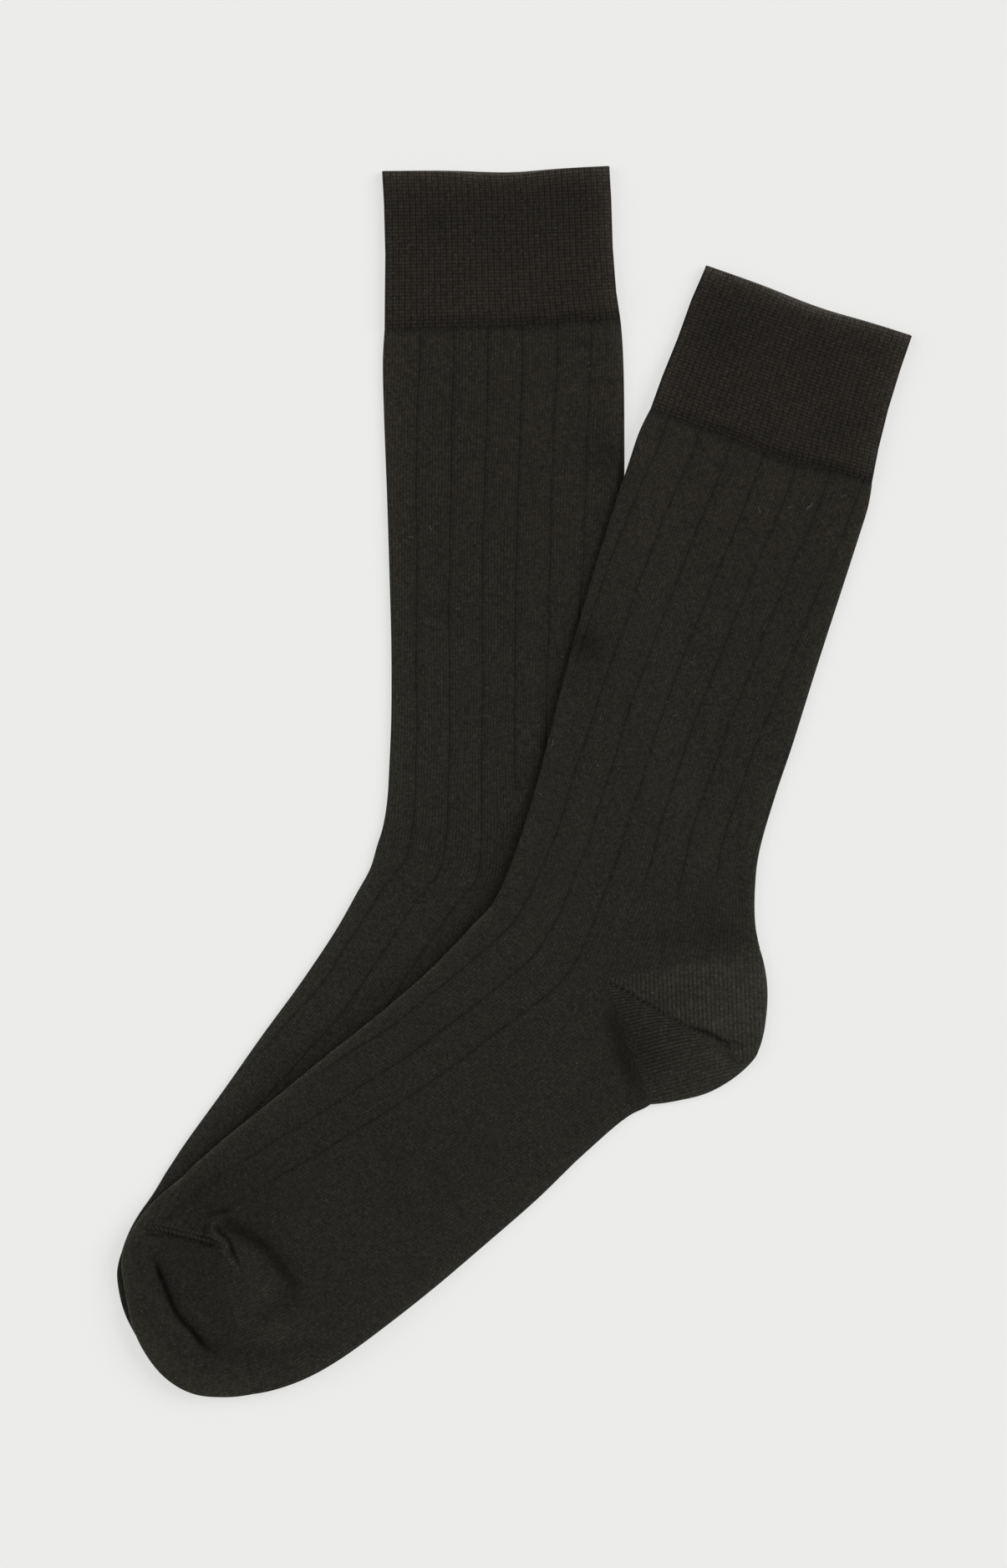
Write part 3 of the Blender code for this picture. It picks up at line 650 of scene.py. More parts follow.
def with_height(sock, points, edge_in, face, top, depth, relief=0.0):
    """Points in space: depth from the middle of the flat tube, rounded at the folded edges."""
    round_over = EDGE_ROUND if depth is None else SLOT_ROUND
    reach = top / 2 if depth is None else depth
    around = np.clip(1 - edge_in / round_over, 0, 1)
    height = top / 2 + face * reach * np.sqrt(1 - around * around)
    if face > 0:
        height = height + fold_height(sock, points) * smooth(edge_in / FOLD_REACH)
    height = height - face * relief * smooth(edge_in / RELIEF_REACH)
    return np.concatenate([points, (height + lift(sock, points))[..., None]], axis=-1)


# ---------------------------------------------------------------- one closed piece of knit


class Knit:
    """A closed piece: its points, faces, stitch coordinates, and what varies over its yarn."""

    def __init__(self):
        self.points = []
        self.values = []  # lines, tone and stretch at each point
        self.count = 0
        self.faces = []
        self.stitches = []

    def add(self, points, lines=0.0, tone=0.0, stretch=0.0):
        """Adds a grid of points and returns its indices in the same shape."""
        shape = points.shape[:-1]
        values = np.stack([np.broadcast_to(v, shape) for v in (lines, tone, stretch)], axis=-1)
        self.points.append(points.reshape(-1, 3))
        self.values.append(values.reshape(-1, 3))
        index = np.arange(self.count, self.count + math.prod(shape)).reshape(shape)
        self.count += index.size
        return index

    def quads(self, index, left, right, courses):
        """Faces over a grid. left and right are a column's wale as a face's left or right side."""
        corners = [index[:-1, :-1], index[:-1, 1:], index[1:, 1:], index[1:, :-1]]
        wales = [left[:-1, :-1], right[:-1, 1:], right[1:, 1:], left[1:, :-1]]
        rises = [courses[:-1, :-1], courses[:-1, 1:], courses[1:, 1:], courses[1:, :-1]]
        faces = np.stack(corners, axis=-1).reshape(-1, 4)
        stitches = np.stack([np.stack(wales, -1), np.stack(rises, -1)], -1).reshape(-1, 4, 2)
        self.faces += faces.tolist()
        self.stitches += stitches.tolist()

    def plain_quads(self, index):
        middle = np.full(index.shape, 0.5)
        self.quads(index, middle, middle, middle)

    def rim(self, outer, inner):
        """Triangles from one chain of (place, point) pairs to another, matched by place."""
        i = j = 0
        while i < len(outer) - 1 or j < len(inner) - 1:
            on_outer = j == len(inner) - 1 or (
                i < len(outer) - 1 and outer[i + 1][0] <= inner[j + 1][0]
            )
            if on_outer:
                face = [outer[i][1], outer[i + 1][1], inner[j][1]]
                i += 1
            else:
                face = [outer[i][1], inner[j + 1][1], inner[j][1]]
                j += 1
            self.faces.append(face)
            self.stitches.append([(0.5, 0.5)] * 3)

    def piece(self, name, material, nodes, slot):
        """The finished object, in the place of its nodes."""
        points = np.concatenate(self.points) * MM
        values = np.concatenate(self.values)
        faces, stitches = [], []
        for face, uv in zip(self.faces, self.stitches):
            kept = [n for n in range(len(face)) if face[n] != face[n - 1]]
            if len(kept) > 2:
                faces.append([face[n] for n in kept])
                stitches += [uv[n] for n in kept]
        mesh = bpy.data.meshes.new(name)
        mesh.from_pydata(points.tolist(), [], faces)
        layer = mesh.uv_layers.new(name="stitches")
        layer.data.foreach_set("uv", np.asarray(stitches, float).ravel())
        for n, value in enumerate(("lines", "tone", "stretch")):
            attribute = mesh.attributes.new(value, "FLOAT", "POINT")
            attribute.data.foreach_set("value", values[:, n])
        form = bmesh.new()
        form.from_mesh(mesh)
        bmesh.ops.delete(form, geom=[v for v in form.verts if not v.link_faces], context="VERTS")
        bmesh.ops.recalc_face_normals(form, faces=form.faces)
        form.to_mesh(mesh)
        form.free()
        mesh.shade_smooth()
        mesh.set_sharp_from_angle(angle=math.radians(62))
        mesh.materials.append(material)
        return placed(bpy.data.objects.new(name, mesh), nodes)


def placed(piece, nodes):
    """Links a piece, lets it ride on the pair, and hides the nodes that it stands for."""
    bpy.context.scene.collection.objects.link(piece)
    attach(piece, "root")
    if nodes:
        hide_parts(*nodes)
    return piece


def to_world(sock, points):
    """Points of a sock's own plan, moved to the pair."""
    return np.concatenate([in_pair(sock, points[..., :2]), points[..., 2:]], axis=-1)


# ---------------------------------------------------------------- columns across a tube


def wobble(distance, along):
    """How far a groove wanders from its true line."""
    slow = 0.22 * np.sin(along / 14.0 + distance / 9.0)
    quick = 0.12 * np.sin(along / 5.1 - distance / 7.0)
    return (slow + quick) * smooth(np.abs(distance) / 8.0)


def body_columns(rows, along, is_leg):
    """Distances on the top face, and each groove's centre and strength."""
    front, back, rib = rows[:, FRONT], rows[:, BACK], rows[:, RIB]
    centres, strengths = [], []
    for packed, n in enumerate((4, 3, 2, 1)):
        inset = front - n * rib
        least = NEAREST_LINE + packed * LINE_PACKING
        fade = 1 - LINE_LOSS * smooth((-LINE_END - rows[:, SIDE_Y]) / 26.0) * (not is_leg)
        strengths.append(smooth((inset - least) / LINE_FADE) * fade)
        centre = np.maximum(inset, least) - front
        centres.append(centre + wobble(centre, along) * strengths[-1])
    for n, end in enumerate(BACK_LINE_ENDS):
        centre = n * rib
        strengths.append(smooth((rows[:, SIDE_Y] - end) / 5.0) * is_leg)
        centres.append(centre + wobble(centre, along) * strengths[-1])
    edge = np.array(EDGE_COLUMNS)
    beside = np.array(GROOVE_COLUMNS)
    room = (centres[0] + front)[:, None]
    columns = [edge * room - front[:, None]]
    for n, centre in enumerate(centres):
        last = n + 1 == len(centres)
        width = ((back if last else centres[n + 1]) - centre)[:, None]
        fine = np.minimum(0.28, width / 14)
        near = fine * beside
        if last:
            rim = np.minimum(4.0, width * 0.4)
            middle_end = width - rim
            inner = np.linspace(0, 1, 20)[1:]
            far = width - rim * edge[::-1]
        else:
            middle_end = width - beside[-1] * fine
            inner = np.linspace(0, 1, 9)[1:-1]
            far = width - fine * beside[:0:-1]
        middle = near[:, -1:] + (middle_end - near[:, -1:]) * inner
        columns += [centre[:, None] + part for part in (near, middle, far)]
    return joined(*columns), np.stack(centres, 1), np.stack(strengths, 1)


def bottom_columns(rows, count=15):
    """Distances on the bottom face from back to front, without the folded edges."""
    *steps, flat = BOTTOM_COLUMNS
    steps = np.array(steps)
    inner = np.linspace(0, 1, count)
    back, front = rows[:, BACK, None], rows[:, FRONT, None]
    first = [back - steps, (back - flat) * (1 - inner[:-1])]
    second = [-(front - flat) * inner, -front + steps[::-1]]
    return joined(*first, *second)


def inside_columns(rows, wall):
    """Distances on the inside of the top face, front to back, and of the bottom, back to front."""
    front, back = rows[:, FRONT, None] - wall, rows[:, BACK, None] - wall
    shares = np.linspace(0, 1, 7)[1:-1]
    round_in = INSIDE_COLUMNS[0]
    top = [-front, round_in - front, (round_in - front) * (1 - shares), 0 * front]
    top += [(back - round_in) * shares, back - round_in, back]
    top = joined(*top)
    return top, top[:, 1:-1][:, ::-1]


def edge_highlight(edge_in, name):
    """The painted highlight beside an edge."""
    share, length = EDGE_HIGHLIGHT[name]
    return share * np.exp(-np.maximum(edge_in, 0) / length)


def ring_points(sock, rows, top, bottom, wall, outer, relief=(0.0, 0.0), edge=None):
    """The rings of a tube: points in space, their places round the ring, and the painted highlight
    along their edges.
    """
    rings, places, tones = [], [], []
    height = 2 * wall + SLOT
    depth = None if outer else height / 2 - wall
    name = edge or sock.name
    for face, distance, sunk in ((1, top, relief[0]), (-1, bottom, relief[1])):
        points = section_points(rows, distance, sock)
        front_in = distance + rows[:, FRONT, None]
        back_in = rows[:, BACK, None] - distance
        edge_in = np.minimum(front_in, back_in) - wall * (not outer)
        rings.append(with_height(sock, points, edge_in, face, height, depth, sunk))
        place = front_in / (rows[:, FRONT] + rows[:, BACK])[:, None]
        places.append(place if face > 0 else 2 - place)
        tones.append(edge_highlight(front_in, f"{name} front") + edge_highlight(back_in, f"{name} back"))
    return tuple(joined(*part) for part in (rings, places, tones))


def side_columns(top, bottom):
    """The columns of a ring that stand on its side line, on its top and on its bottom."""
    return int(np.argmin(np.abs(top[0]))), top.shape[1] + int(np.argmin(np.abs(bottom[0])))


def closed(grid):
    return joined(grid, grid[:, :1])


def chain(places, index, row, wrap=True):
    """The (place, point) pairs of a row, closed to a ring by wrap."""
    pairs = list(zip(places[row].tolist(), index[row].tolist()))
    return pairs + [(pairs[0][0] + 2, pairs[0][1])] if wrap else pairs


# ---------------------------------------------------------------- pieces


def make_welt(sock, settings):
    """The turned welt, with its fine ribs and courses in the form."""
    knit = Knit()
    table = np.asarray(WELT[sock.name], float)
    length = table[0, SIDE_Y] - table[-1, SIDE_Y]
    courses = round(length / COURSE["welt"])
    count = WELT_ROWS * courses + 1
    heights = np.linspace(table[0, SIDE_Y], table[-1, SIDE_Y], count)
    up = table[::-1]
    rows = np.stack([np.interp(heights, up[:, SIDE_Y], value) for value in up.T], axis=1)
    angles = np.radians(LIP_DEGREES)
    lip = np.repeat(rows[:1], len(angles), axis=0)
    lip[:, SIDE_Y] += WELT_LIP * np.sin(angles)
    rows = np.concatenate([lip, rows])
    course = np.concatenate([np.zeros(len(angles)), np.arange(count) / WELT_ROWS])
    thin = np.concatenate([1 - np.cos(angles), np.zeros(count)])
    front, back = rows[:, FRONT, None], rows[:, BACK, None]
    width = front + back - 2 * WELT_RIB_START
    above_base = rows[:, SIDE_Y, None] - table[-1, SIDE_Y]
    from_mouth = rows[:, SIDE_Y, None] - table[0, SIDE_Y]
    grids, reliefs, wales = [], [], []
    for face, columns in ((1, 8), (-1, 4)):
        share = np.linspace(0, 1, columns * WELT_RIBS + 1)[None, :]
        distance = WELT_RIB_START - front + width * share
        if face > 0:
            ends = [-front, -front + 0.2, back - 0.2, back]
            distance = joined(*ends[:2], distance, *ends[2:])
        else:
            distance = distance[:, ::-1]
        rib = (distance + front - WELT_RIB_START) / width * WELT_RIBS
        rib = np.clip(rib, 0, WELT_RIBS)
        row = wave(course[:, None])
        groove = wave(rib) ** 2 * (0.5 + 0.5 * row)
        pit = bell(rib % 1, 1.0, 0.5, 0.15) * row
        base = 1 - smooth(above_base / WELT_DIP_REACH)
        sunk = settings.welt_depth * (groove + 0.5 * pit) + WELT_DIP * base
        grids.append(distance)
        reliefs.append(sunk * (1 - smooth(thin[:, None])))
        wales.append(rib if face > 0 else 2 * WELT_RIBS - rib)
    height = 2 * WELT_WALL + SLOT
    points, places, edge = ring_points(sock, rows, *grids, WELT_WALL, True, reliefs, "welt")
    middle = lift(sock, points[..., :2]) + height / 2
    share = LIP_THINNING * WELT_WALL / (height / 2) * thin[:, None]
    points[..., 2] = middle + (points[..., 2] - middle) * (1 - share)
    peek = bell(points[..., 0], *MOUTH_PEEK) + PEEK_LEAST
    dip = bell(points[..., 0], *MOUTH_DIP)
    is_bottom = places > 1
    points[..., 1] += (peek * is_bottom - dip) * smooth((from_mouth + DIP_REACH) / DIP_REACH)
    points[..., 1] -= cuff_sag(sock, points[..., 0]) * smooth((SAG_REACH - above_base) / SAG_REACH)
    # Painted shade and highlight: the spots and folds, and painted highlights along the edges and
    # the mouth.
    tone = painted_shading_at(sock, points[..., :2]) + edge
    tone = tone + edge_highlight(WELT_LIP - from_mouth, f"{sock.name} mouth")
    # Painted shade at the welt's base and in the pits of the row that hooks it down.
    low = BASE_SHADE * (1 - smooth((above_base - 1.0) / 4.5))
    dots = HOOK_SHADE[0] + HOOK_SHADE[1] * wave(joined(*wales))
    low = low + dots * (1 - smooth((above_base - 0.8) / 1.4))
    tone = tone - low * (1 + BASE_SHADE_SLOPE * points[..., 0])
    index = knit.add(to_world(sock, points), 0.0, tone)
    wale = closed(joined(*wales))
    wale[:, -1] = 2 * WELT_RIBS
    rise = np.repeat(course[:, None], wale.shape[1], axis=1)
    knit.quads(closed(index), wale, wale, rise)
    inner = inside_columns(table, WELT_WALL)
    inside, inside_places, _ = ring_points(sock, table, *inner, WELT_WALL, False)
    inside[0, :, 1] += WELT_LIP * INNER_LIP - bell(inside[0, :, 0], *MOUTH_DIP)
    inside_index = knit.add(to_world(sock, inside))
    knit.plain_quads(closed(inside_index))
    knit.rim(chain(places, index, 0), chain(inside_places, inside_index, 0))
    knit.rim(chain(places, index, -1), chain(inside_places, inside_index, -1))
    return knit


def heel_approach(sock, points, sway):
    """Wales and courses behind the side line above the heel, spreading to the heel's seam."""
    table = np.asarray(LEG[sock.name], float)[::-1]
    x, y = points[..., 0] - sway, points[..., 1]
    x = x - np.interp(y, table[:, SIDE_Y], table[:, SIDE_X])
    above = np.interp(APPROACH, *LEG_BACK_WALE)
    seam = HEEL.wales[0] * direction(HEEL.rows[0][0])
    wale = x / above
    for _ in range(12):
        down = np.clip((APPROACH - y) / (APPROACH - seam[1] * wale), 0, 1)
        wale = x / (above + (seam[0] - above) * down)
    tilt = COURSE_TILT * smooth((APPROACH - y) / 30.0)
    return wale, (y - APPROACH - tilt * x) / COURSE["leg"]


def body_grid(knit, sock, rows, along, course, settings, is_leg):
    """One stretch of the leg or foot: indices, places round the ring, and stitch coordinates."""
    top, centres, strengths = body_columns(rows, along, is_leg)
    bottom = bottom_columns(rows)
    if is_leg:
        back_wale = np.interp(rows[:, SIDE_Y], *LEG_BACK_WALE)
    else:
        back_wale = np.interp(np.linspace(0, 10, len(rows)), *FOOT_BACK_WALE)
    front_wale = rows[:, RIB] / RIB_WALES
    front, back = rows[:, FRONT, None], rows[:, BACK, None]
    sway = wobble(top, along[:, None])
    wale_top = (top - sway) / np.where(top < 0, front_wale[:, None], back_wale[:, None])
    from_front = -(2 * front + bottom) / front_wale[:, None]
    from_back = (2 * back - bottom) / back_wale[:, None]
    gaps = np.abs(top[:, :, None] - centres[:, None, :])
    nearest = np.argmin(gaps, axis=2)
    strength = np.take_along_axis(strengths, nearest, axis=1)
    dip = np.maximum(0, 1 - (np.min(gaps, axis=2) / GROOVE_HALF) ** 2) ** 2
    part = np.mod(wale_top / RIB_WALES, 1.0)
    crown = settings.rib_crown * 4 * part * (1 - part)
    sunk = strength * (settings.groove_depth * dip - crown)
    seam = np.zeros((len(rows), 1))
    if is_leg:
        seam = 1 - smooth((LEG[sock.name][0][SIDE_Y] - 0.5 - rows[:, SIDE_Y, None]) / 2.0)
    points, places, edge = ring_points(sock, rows, top, bottom, LEG_WALL, True, (sunk, 0.0))
    if is_leg:
        near_welt = smooth((rows[:, SIDE_Y, None] - LEG[sock.name][0][SIDE_Y]) / SAG_REACH + 1)
        points[..., 1] -= cuff_sag(sock, points[..., 0]) * near_welt
    ribbed = np.where(bottom < 0, 1.0, smooth((rows[:, SIDE_Y, None] - 30) / 8) * is_leg)
    lines = joined(strength, ribbed)
    # Painted shade and highlight: spots, folds, edges, and painted shade on the leg just under the
    # welt.
    tone = painted_shading_at(sock, points[..., :2]) + edge - LEG_TOP_SHADE * seam
    # The upper sock's foot gets a thin painted highlight along its front edge.
    if sock.raised and not is_leg:
        front_in = joined(top, bottom) + front
        tone = tone + edge_highlight(front_in, "rim")
    stretch = np.full(top.shape, STRETCH["foot"])
    if is_leg:
        stretch = STRETCH[sock.name] + (STRETCH["back"] - STRETCH[sock.name]) * smooth(top / 8.0)
    stretch = joined(stretch, np.full(bottom.shape, STRETCH["back"]))
    index = knit.add(to_world(sock, points), lines, tone, stretch)
    rise = np.repeat(course[:, None], top.shape[1] + bottom.shape[1] + 1, axis=1)
    if is_leg:
        near = points[:, : top.shape[1], :2]
        wales, courses = heel_approach(sock, near, sway)
        behind = (top > 0) & (near[..., 1] < APPROACH)
        wale_top = np.where(behind, wales, wale_top)
        level = np.interp(APPROACH, rows[::-1, SIDE_Y], course[::-1])
        rise[:, : top.shape[1]] = np.where(behind, level + courses, rise[:, : top.shape[1]])
    left = joined(wale_top, np.where(bottom <= 0, from_front, from_back))
    right = joined(wale_top, np.where(bottom < 0, from_front, from_back))
    return index, places, closed(left), closed(right), rise, side_columns(top, bottom)


def inside_grid(knit, sock, table):
    """The inside of one stretch of the leg or foot: indices and places round the ring."""
    rows = np.asarray(table, float)
    top, bottom = inside_columns(rows, LEG_WALL)
    points, places, _ = ring_points(sock, rows, top, bottom, LEG_WALL, False)
    return knit.add(to_world(sock, points)), places, side_columns(top, bottom)


def run_length(rows):
    steps = np.hypot(*np.diff(rows[:, :2], axis=0).T)
    return np.concatenate([[0.0], np.cumsum(steps)])


def make_leg_and_foot(sock, settings):
    """Leg and foot in one tube, with a slit across its back half that the heel pocket fills."""
    knit = Knit()
    leg, foot = body_sections(sock, settings.row_step)
    leg_run = run_length(leg)
    foot_run = run_length(foot)
    leg_course = -leg_run / COURSE["leg"]
    foot_course = leg_course[-1] - foot_run / COURSE["foot"]
    upper = body_grid(knit, sock, leg, leg_run, leg_course, settings, True)
    lower = body_grid(knit, sock, foot, leg_run[-1] + foot_run, foot_course, settings, False)
    insides = [inside_grid(knit, sock, table) for table in (LEG[sock.name], foot_table(sock))]
    for above, below in ((upper, lower), insides):
        side_top, side_bottom = above[-1]
        below[0][0, : side_top + 1] = above[0][-1, : side_top + 1]
        below[0][0, side_bottom:] = above[0][-1, side_bottom:]
    for index, _, left, right, rise, _ in (upper, lower):
        knit.quads(closed(index), left, right, rise)
    for index, _, _ in insides:
        knit.plain_quads(closed(index))
    for outer, inner, row in ((upper, insides[0], 0), (lower, insides[1], -1)):
        knit.rim(chain(outer[1], outer[0], row), chain(inner[1], inner[0], row))
    for outer, inner, row in ((upper, insides[0], -1), (lower, insides[1], 0)):
        halves = []
        for part in (outer, inner):
            first, last = part[-1]
            halves.append(chain(part[1], part[0], row, wrap=False)[first : last + 1])
        knit.rim(*halves)
    return knit


def make_pocket(pocket, sock, settings):
    """A heel or toe pocket: a fan of rows, folded over at its edge, open along its end rows."""
    knit = Knit()
    fine = pocket_edge(pocket, sock, settings.pocket_step)
    grids = []
    for outer, fan in ((True, fine), (False, np.asarray(pocket.rows, float))):
        inset = 0.0 if outer else POCKET_WALL
        reach = fan[:, 1, None] - inset
        edge = np.array(POCKET_COLUMNS if outer else INSIDE_COLUMNS)[::-1]
        count = math.ceil(50 / settings.pocket_step) if outer else 6
        flat = np.linspace(0, 1, count + 1)[None, :] * (reach - edge[0])
        top = joined(flat, reach - edge[1:], reach)
        bottom = top[:, :-1][:, ::-1]
        parts = []
        for face, places in ((1, top), (-1, bottom)):
            spoke = places[..., None] * direction(fan[:, 0])[:, None, :]
            points = turned(np.asarray(pocket.corner) + spoke, sock.bend * pocket.bend)
            turns = [np.radians(np.abs(fan[:, :1] - end)) for end in (fan[0, 0], fan[-1, 0])]
            from_seam = np.minimum(*(places * np.sin(turn) for turn in turns))
            swell = smooth(from_seam / POCKET_RISE)
            thick = 2 * (LEG_WALL + (POCKET_WALL - LEG_WALL) * swell) + SLOT
            depth = None if outer else SLOT / 2
            parts.append(with_height(sock, points, reach - places, face, thick, depth))
        points = joined(*parts)
        places = joined(top / reach, 2 - bottom / reach)
        distance = joined(top, 2 * reach - bottom)
        grids.append((fan, points, places, distance))
    fan, points, places, distance = grids[0]
    from_first, from_last = (np.abs(fan[:, 0] - pocket.rows[end][0]) for end in (0, -1))
    above = from_first <= abs(pocket.gore - pocket.rows[0][0]) + 0.01
    stretch = np.where(above, *pocket.stretch)[:, None]
    stretch = stretch * (1 - POCKET_CLOSES * smooth((distance - 30.0) / 14.0))
    stretch = stretch * smooth(np.minimum(from_first, from_last) / 12.0)[:, None]
    edge_in = np.abs(fan[:, 1, None] - distance)
    # Painted shade and highlight: spots and folds, the folded edge, and on the upper toe its rim
    # and back edge.
    tone = painted_shading_at(sock, points[..., :2])
    tone = tone + edge_highlight(edge_in, "toe" if pocket is TOE else "heel")
    if sock.raised and pocket is TOE:
        tone = tone + edge_highlight(edge_in, "rim") * (fan[:, :1] < RIM_END)
        tone = tone + edge_highlight(edge_in, "toe back") * smooth((fan[:, :1] - TOE_BACK) / 30)
    from_gore = np.abs(fan[:, :1] - pocket.gore)
    below = PALE_FROM[0] + PALE_FROM[1] * points[..., 0] - points[..., 1]
    pale = pocket.pale * above[:, None] * smooth(from_gore / 5.0) * smooth(below / 2.0)
    tone = tone + pale * smooth(distance / 12.0)
    index = knit.add(to_world(sock, points), 0.0, tone, stretch)
    index[:, 0] = index[0, 0]
    index[:, -1] = index[0, -1]
    gore_row = int(above.sum())
    halves = (slice(0, gore_row), slice(gore_row - 1, None))
    for half, grain, wale, pull in zip(halves, pocket.grain, pocket.wales, (0.0, GORE_PULL)):
        reach = distance[half]
        turn = np.radians(fan[half, :1] - grain)
        off_gore = reach * np.abs(np.sin(np.radians(fan[half, :1] - pocket.gore)))
        wales = reach * np.cos(turn) / wale - pull * np.exp(-off_gore / GORE_PULL_REACH)
        knit.quads(index[half], wales, wales, reach * np.sin(turn) / COURSE["pocket"])
    _, inside, inside_places, _ = grids[1]
    inside_index = knit.add(to_world(sock, inside))
    inside_index[:, 0] = inside_index[0, 0]
    inside_index[:, -1] = inside_index[0, -1]
    knit.plain_quads(inside_index)
    for row in (0, -1):
        outer_chain = chain(places, index, row, wrap=False)
        knit.rim(outer_chain, chain(inside_places, inside_index, row, wrap=False))
    return knit


# ---------------------------------------------------------------- nodes

NUMBER, VECTOR, WHOLE = "NodeSocketFloat", "NodeSocketVector", "NodeSocketInt"
GEOMETRY, MATERIAL = "NodeSocketGeometry", "NodeSocketMaterial"


def new_tree(name, kind, inputs, outputs):
    """A tree with named sockets, what its input node gives and what its output node takes."""
    tree = bpy.data.node_groups.new(name, kind)
    for in_out, sockets in (("INPUT", inputs), ("OUTPUT", outputs)):
        for title, socket in sockets.items():
            tree.interface.new_socket(title, in_out=in_out, socket_type=socket)
    return tree, tree.nodes.new("NodeGroupInput").outputs, tree.nodes.new("NodeGroupOutput").inputs


def shared(name, make):
    """The tree of that name, made once."""
    return bpy.data.node_groups.get(name) or make(name)


def node(tree, kind, links=None, **settings):
    """A node with its settings, and its inputs linked to sockets or set to values."""
    made = tree.nodes.new(kind)
    for name, value in settings.items():
        setattr(made, name, value)
    for key, value in (links or {}).items():
        if isinstance(value, bpy.types.NodeSocket):
            tree.links.new(value, made.inputs[key])
        else:
            made.inputs[key].default_value = value
    return made


def maths(operation, *values, clamp=False):
    """A Math node on numbers and sockets, in the tree of its sockets."""
    tree = next(value.id_data for value in values if isinstance(value, bpy.types.NodeSocket))
    links = dict(enumerate(values))
    return node(tree, "ShaderNodeMath", links, operation=operation, use_clamp=clamp).outputs[0]


def times(value, factor):
    return maths("MULTIPLY", value, factor)


def scaled(value, factor, start, clamp=False):
    """value times factor, plus start."""
    return maths("MULTIPLY_ADD", value, factor, start, clamp=clamp)


def eased(value, low, high, start=0.0, end=1.0):
    """start to end as value goes from low to high, with level ends."""
    links = dict(enumerate((value, low, high, start, end)))
    made = node(value.id_data, "ShaderNodeMapRange", links, interpolation_type="SMOOTHSTEP")
    return made.outputs[0]


def noise(vector, scale, detail=2.0, roughness=0.5):
    links = {"Vector": vector, "Scale": scale, "Detail": detail, "Roughness": roughness}
    return node(vector.id_data, "ShaderNodeTexNoise", links).outputs["Fac"]


def split(vector):
    return node(vector.id_data, "ShaderNodeSeparateXYZ", {0: vector}).outputs


def combined(tree, *values):
    return node(tree, "ShaderNodeCombineXYZ", dict(enumerate(values))).outputs[0]


def send(found, **values):
    """Links each value to the output of its name."""
    for title, value in values.items():
        value.id_data.links.new(value, found[title])


# ---------------------------------------------------------------- yarns


def shader_group(name, inputs, *outputs):
    return new_tree(name, "ShaderNodeTree", inputs, dict.fromkeys(outputs, NUMBER))


def off_middle(wale):
    """0 in the middle of a wale and 1 at its two sides."""
    return times(maths("ABSOLUTE", maths("SUBTRACT", maths("FRACT", wale), 0.5)), 2.0)


def arch(course):
    """0 at both ends of a course and 1 in its middle."""
    return maths("SINE", times(maths("FRACT", course), math.pi))


def strand_tone(wale, course):
    """A factor about 1 that differs from loop to loop and in streaks along the wales."""
    tree = wale.id_data
    cell = combined(tree, maths("FLOOR", wale), maths("FLOOR", course))
    random = node(tree, "ShaderNodeTexWhiteNoise", {"Vector": cell}, noise_dimensions="2D")
    streaks = noise(combined(tree, times(wale, 0.9), times(course, 0.3)), 1.0)
    return times(scaled(random.outputs["Value"], 0.34, 0.83), scaled(streaks, 0.24, 0.88))


def loops_group(name):
    """Knit loops: the yarn's height, a painted shade that is low in the gaps, and each strand's
    tone.
    """
    inputs = {"Stitch": VECTOR, "Stretch": NUMBER}
    tree, given, found = shader_group(name, inputs, "Height", "Shade", "Strand")
    wale, course, _ = split(given["Stitch"])
    stretch = given["Stretch"]
    across = off_middle(wale)
    slanted = scaled(across, 0.55, course)
    shoulder = maths("SUBTRACT", 1.0, maths("POWER", across, 3.0))
    bead = scaled(maths("SUBTRACT", arch(slanted), 1.0), scaled(stretch, -0.35, 0.6), 1.0)
    opened = times(eased(across, 0.5, 1.0), stretch)
    height = scaled(opened, -0.8, times(shoulder, bead))
    shade = scaled(opened, -0.5, eased(height, 0.0, 0.8), clamp=True)
    send(found, Height=height, Shade=shade, Strand=strand_tone(wale, slanted))
    return tree


def rings_group(name):
    """A welt's ribs, each a chain of rings with a pit in every ring, and a groove beside it. Its
    shade, painted darker in the pits and grooves, follows its height.
    """
    tree, given, found = shader_group(name, {"Stitch": VECTOR}, "Height", "Shade", "Strand")
    rib, course, _ = split(given["Stitch"])
    off = off_middle(rib)
    row = scaled(maths("COSINE", times(course, 2 * math.pi)), 0.5, 0.5)
    pit = times(eased(off, 0.06, 0.42, 0.75, 0.0), eased(row, 0.3, 0.95))
    groove = times(eased(off, 0.55, 0.95), scaled(row, 0.5, 0.5))
    sunk = maths("MAXIMUM", pit, times(groove, 0.97))
    height = times(scaled(row, -0.3, 1.0), maths("SUBTRACT", 1.0, sunk))
    send(found, Height=height, Shade=height, Strand=strand_tone(times(rib, 2.0), course))
    return tree


def drop_line_group(name):
    """Where a needle is dropped: 1 in the ladder between two wide ribs, lower on its rungs. The
    knit sinks the ladder and darkens it with painted shade.
    """
    inputs = {"Stitch": VECTOR, "Strength": NUMBER}
    tree, given, found = shader_group(name, inputs, "Ladder")
    wale, course, _ = split(given["Stitch"])
    gap = times(off_middle(scaled(wale, 1 / RIB_WALES, 0.5)), RIB_WALES / 2)
    rungs = scaled(arch(course), -0.3, 1.0)
    streak = combined(tree, maths("ROUND", times(wale, 1 / RIB_WALES)), times(course, 0.17))
    opened = eased(noise(streak, 1.0, 3.0), 0.36, 0.66, 0.5, 1.0)
    ladder = times(times(eased(gap, 0.2, 0.85, 1.0, 0.0), rungs), opened)
    send(found, Ladder=times(ladder, given["Strength"]))
    return tree


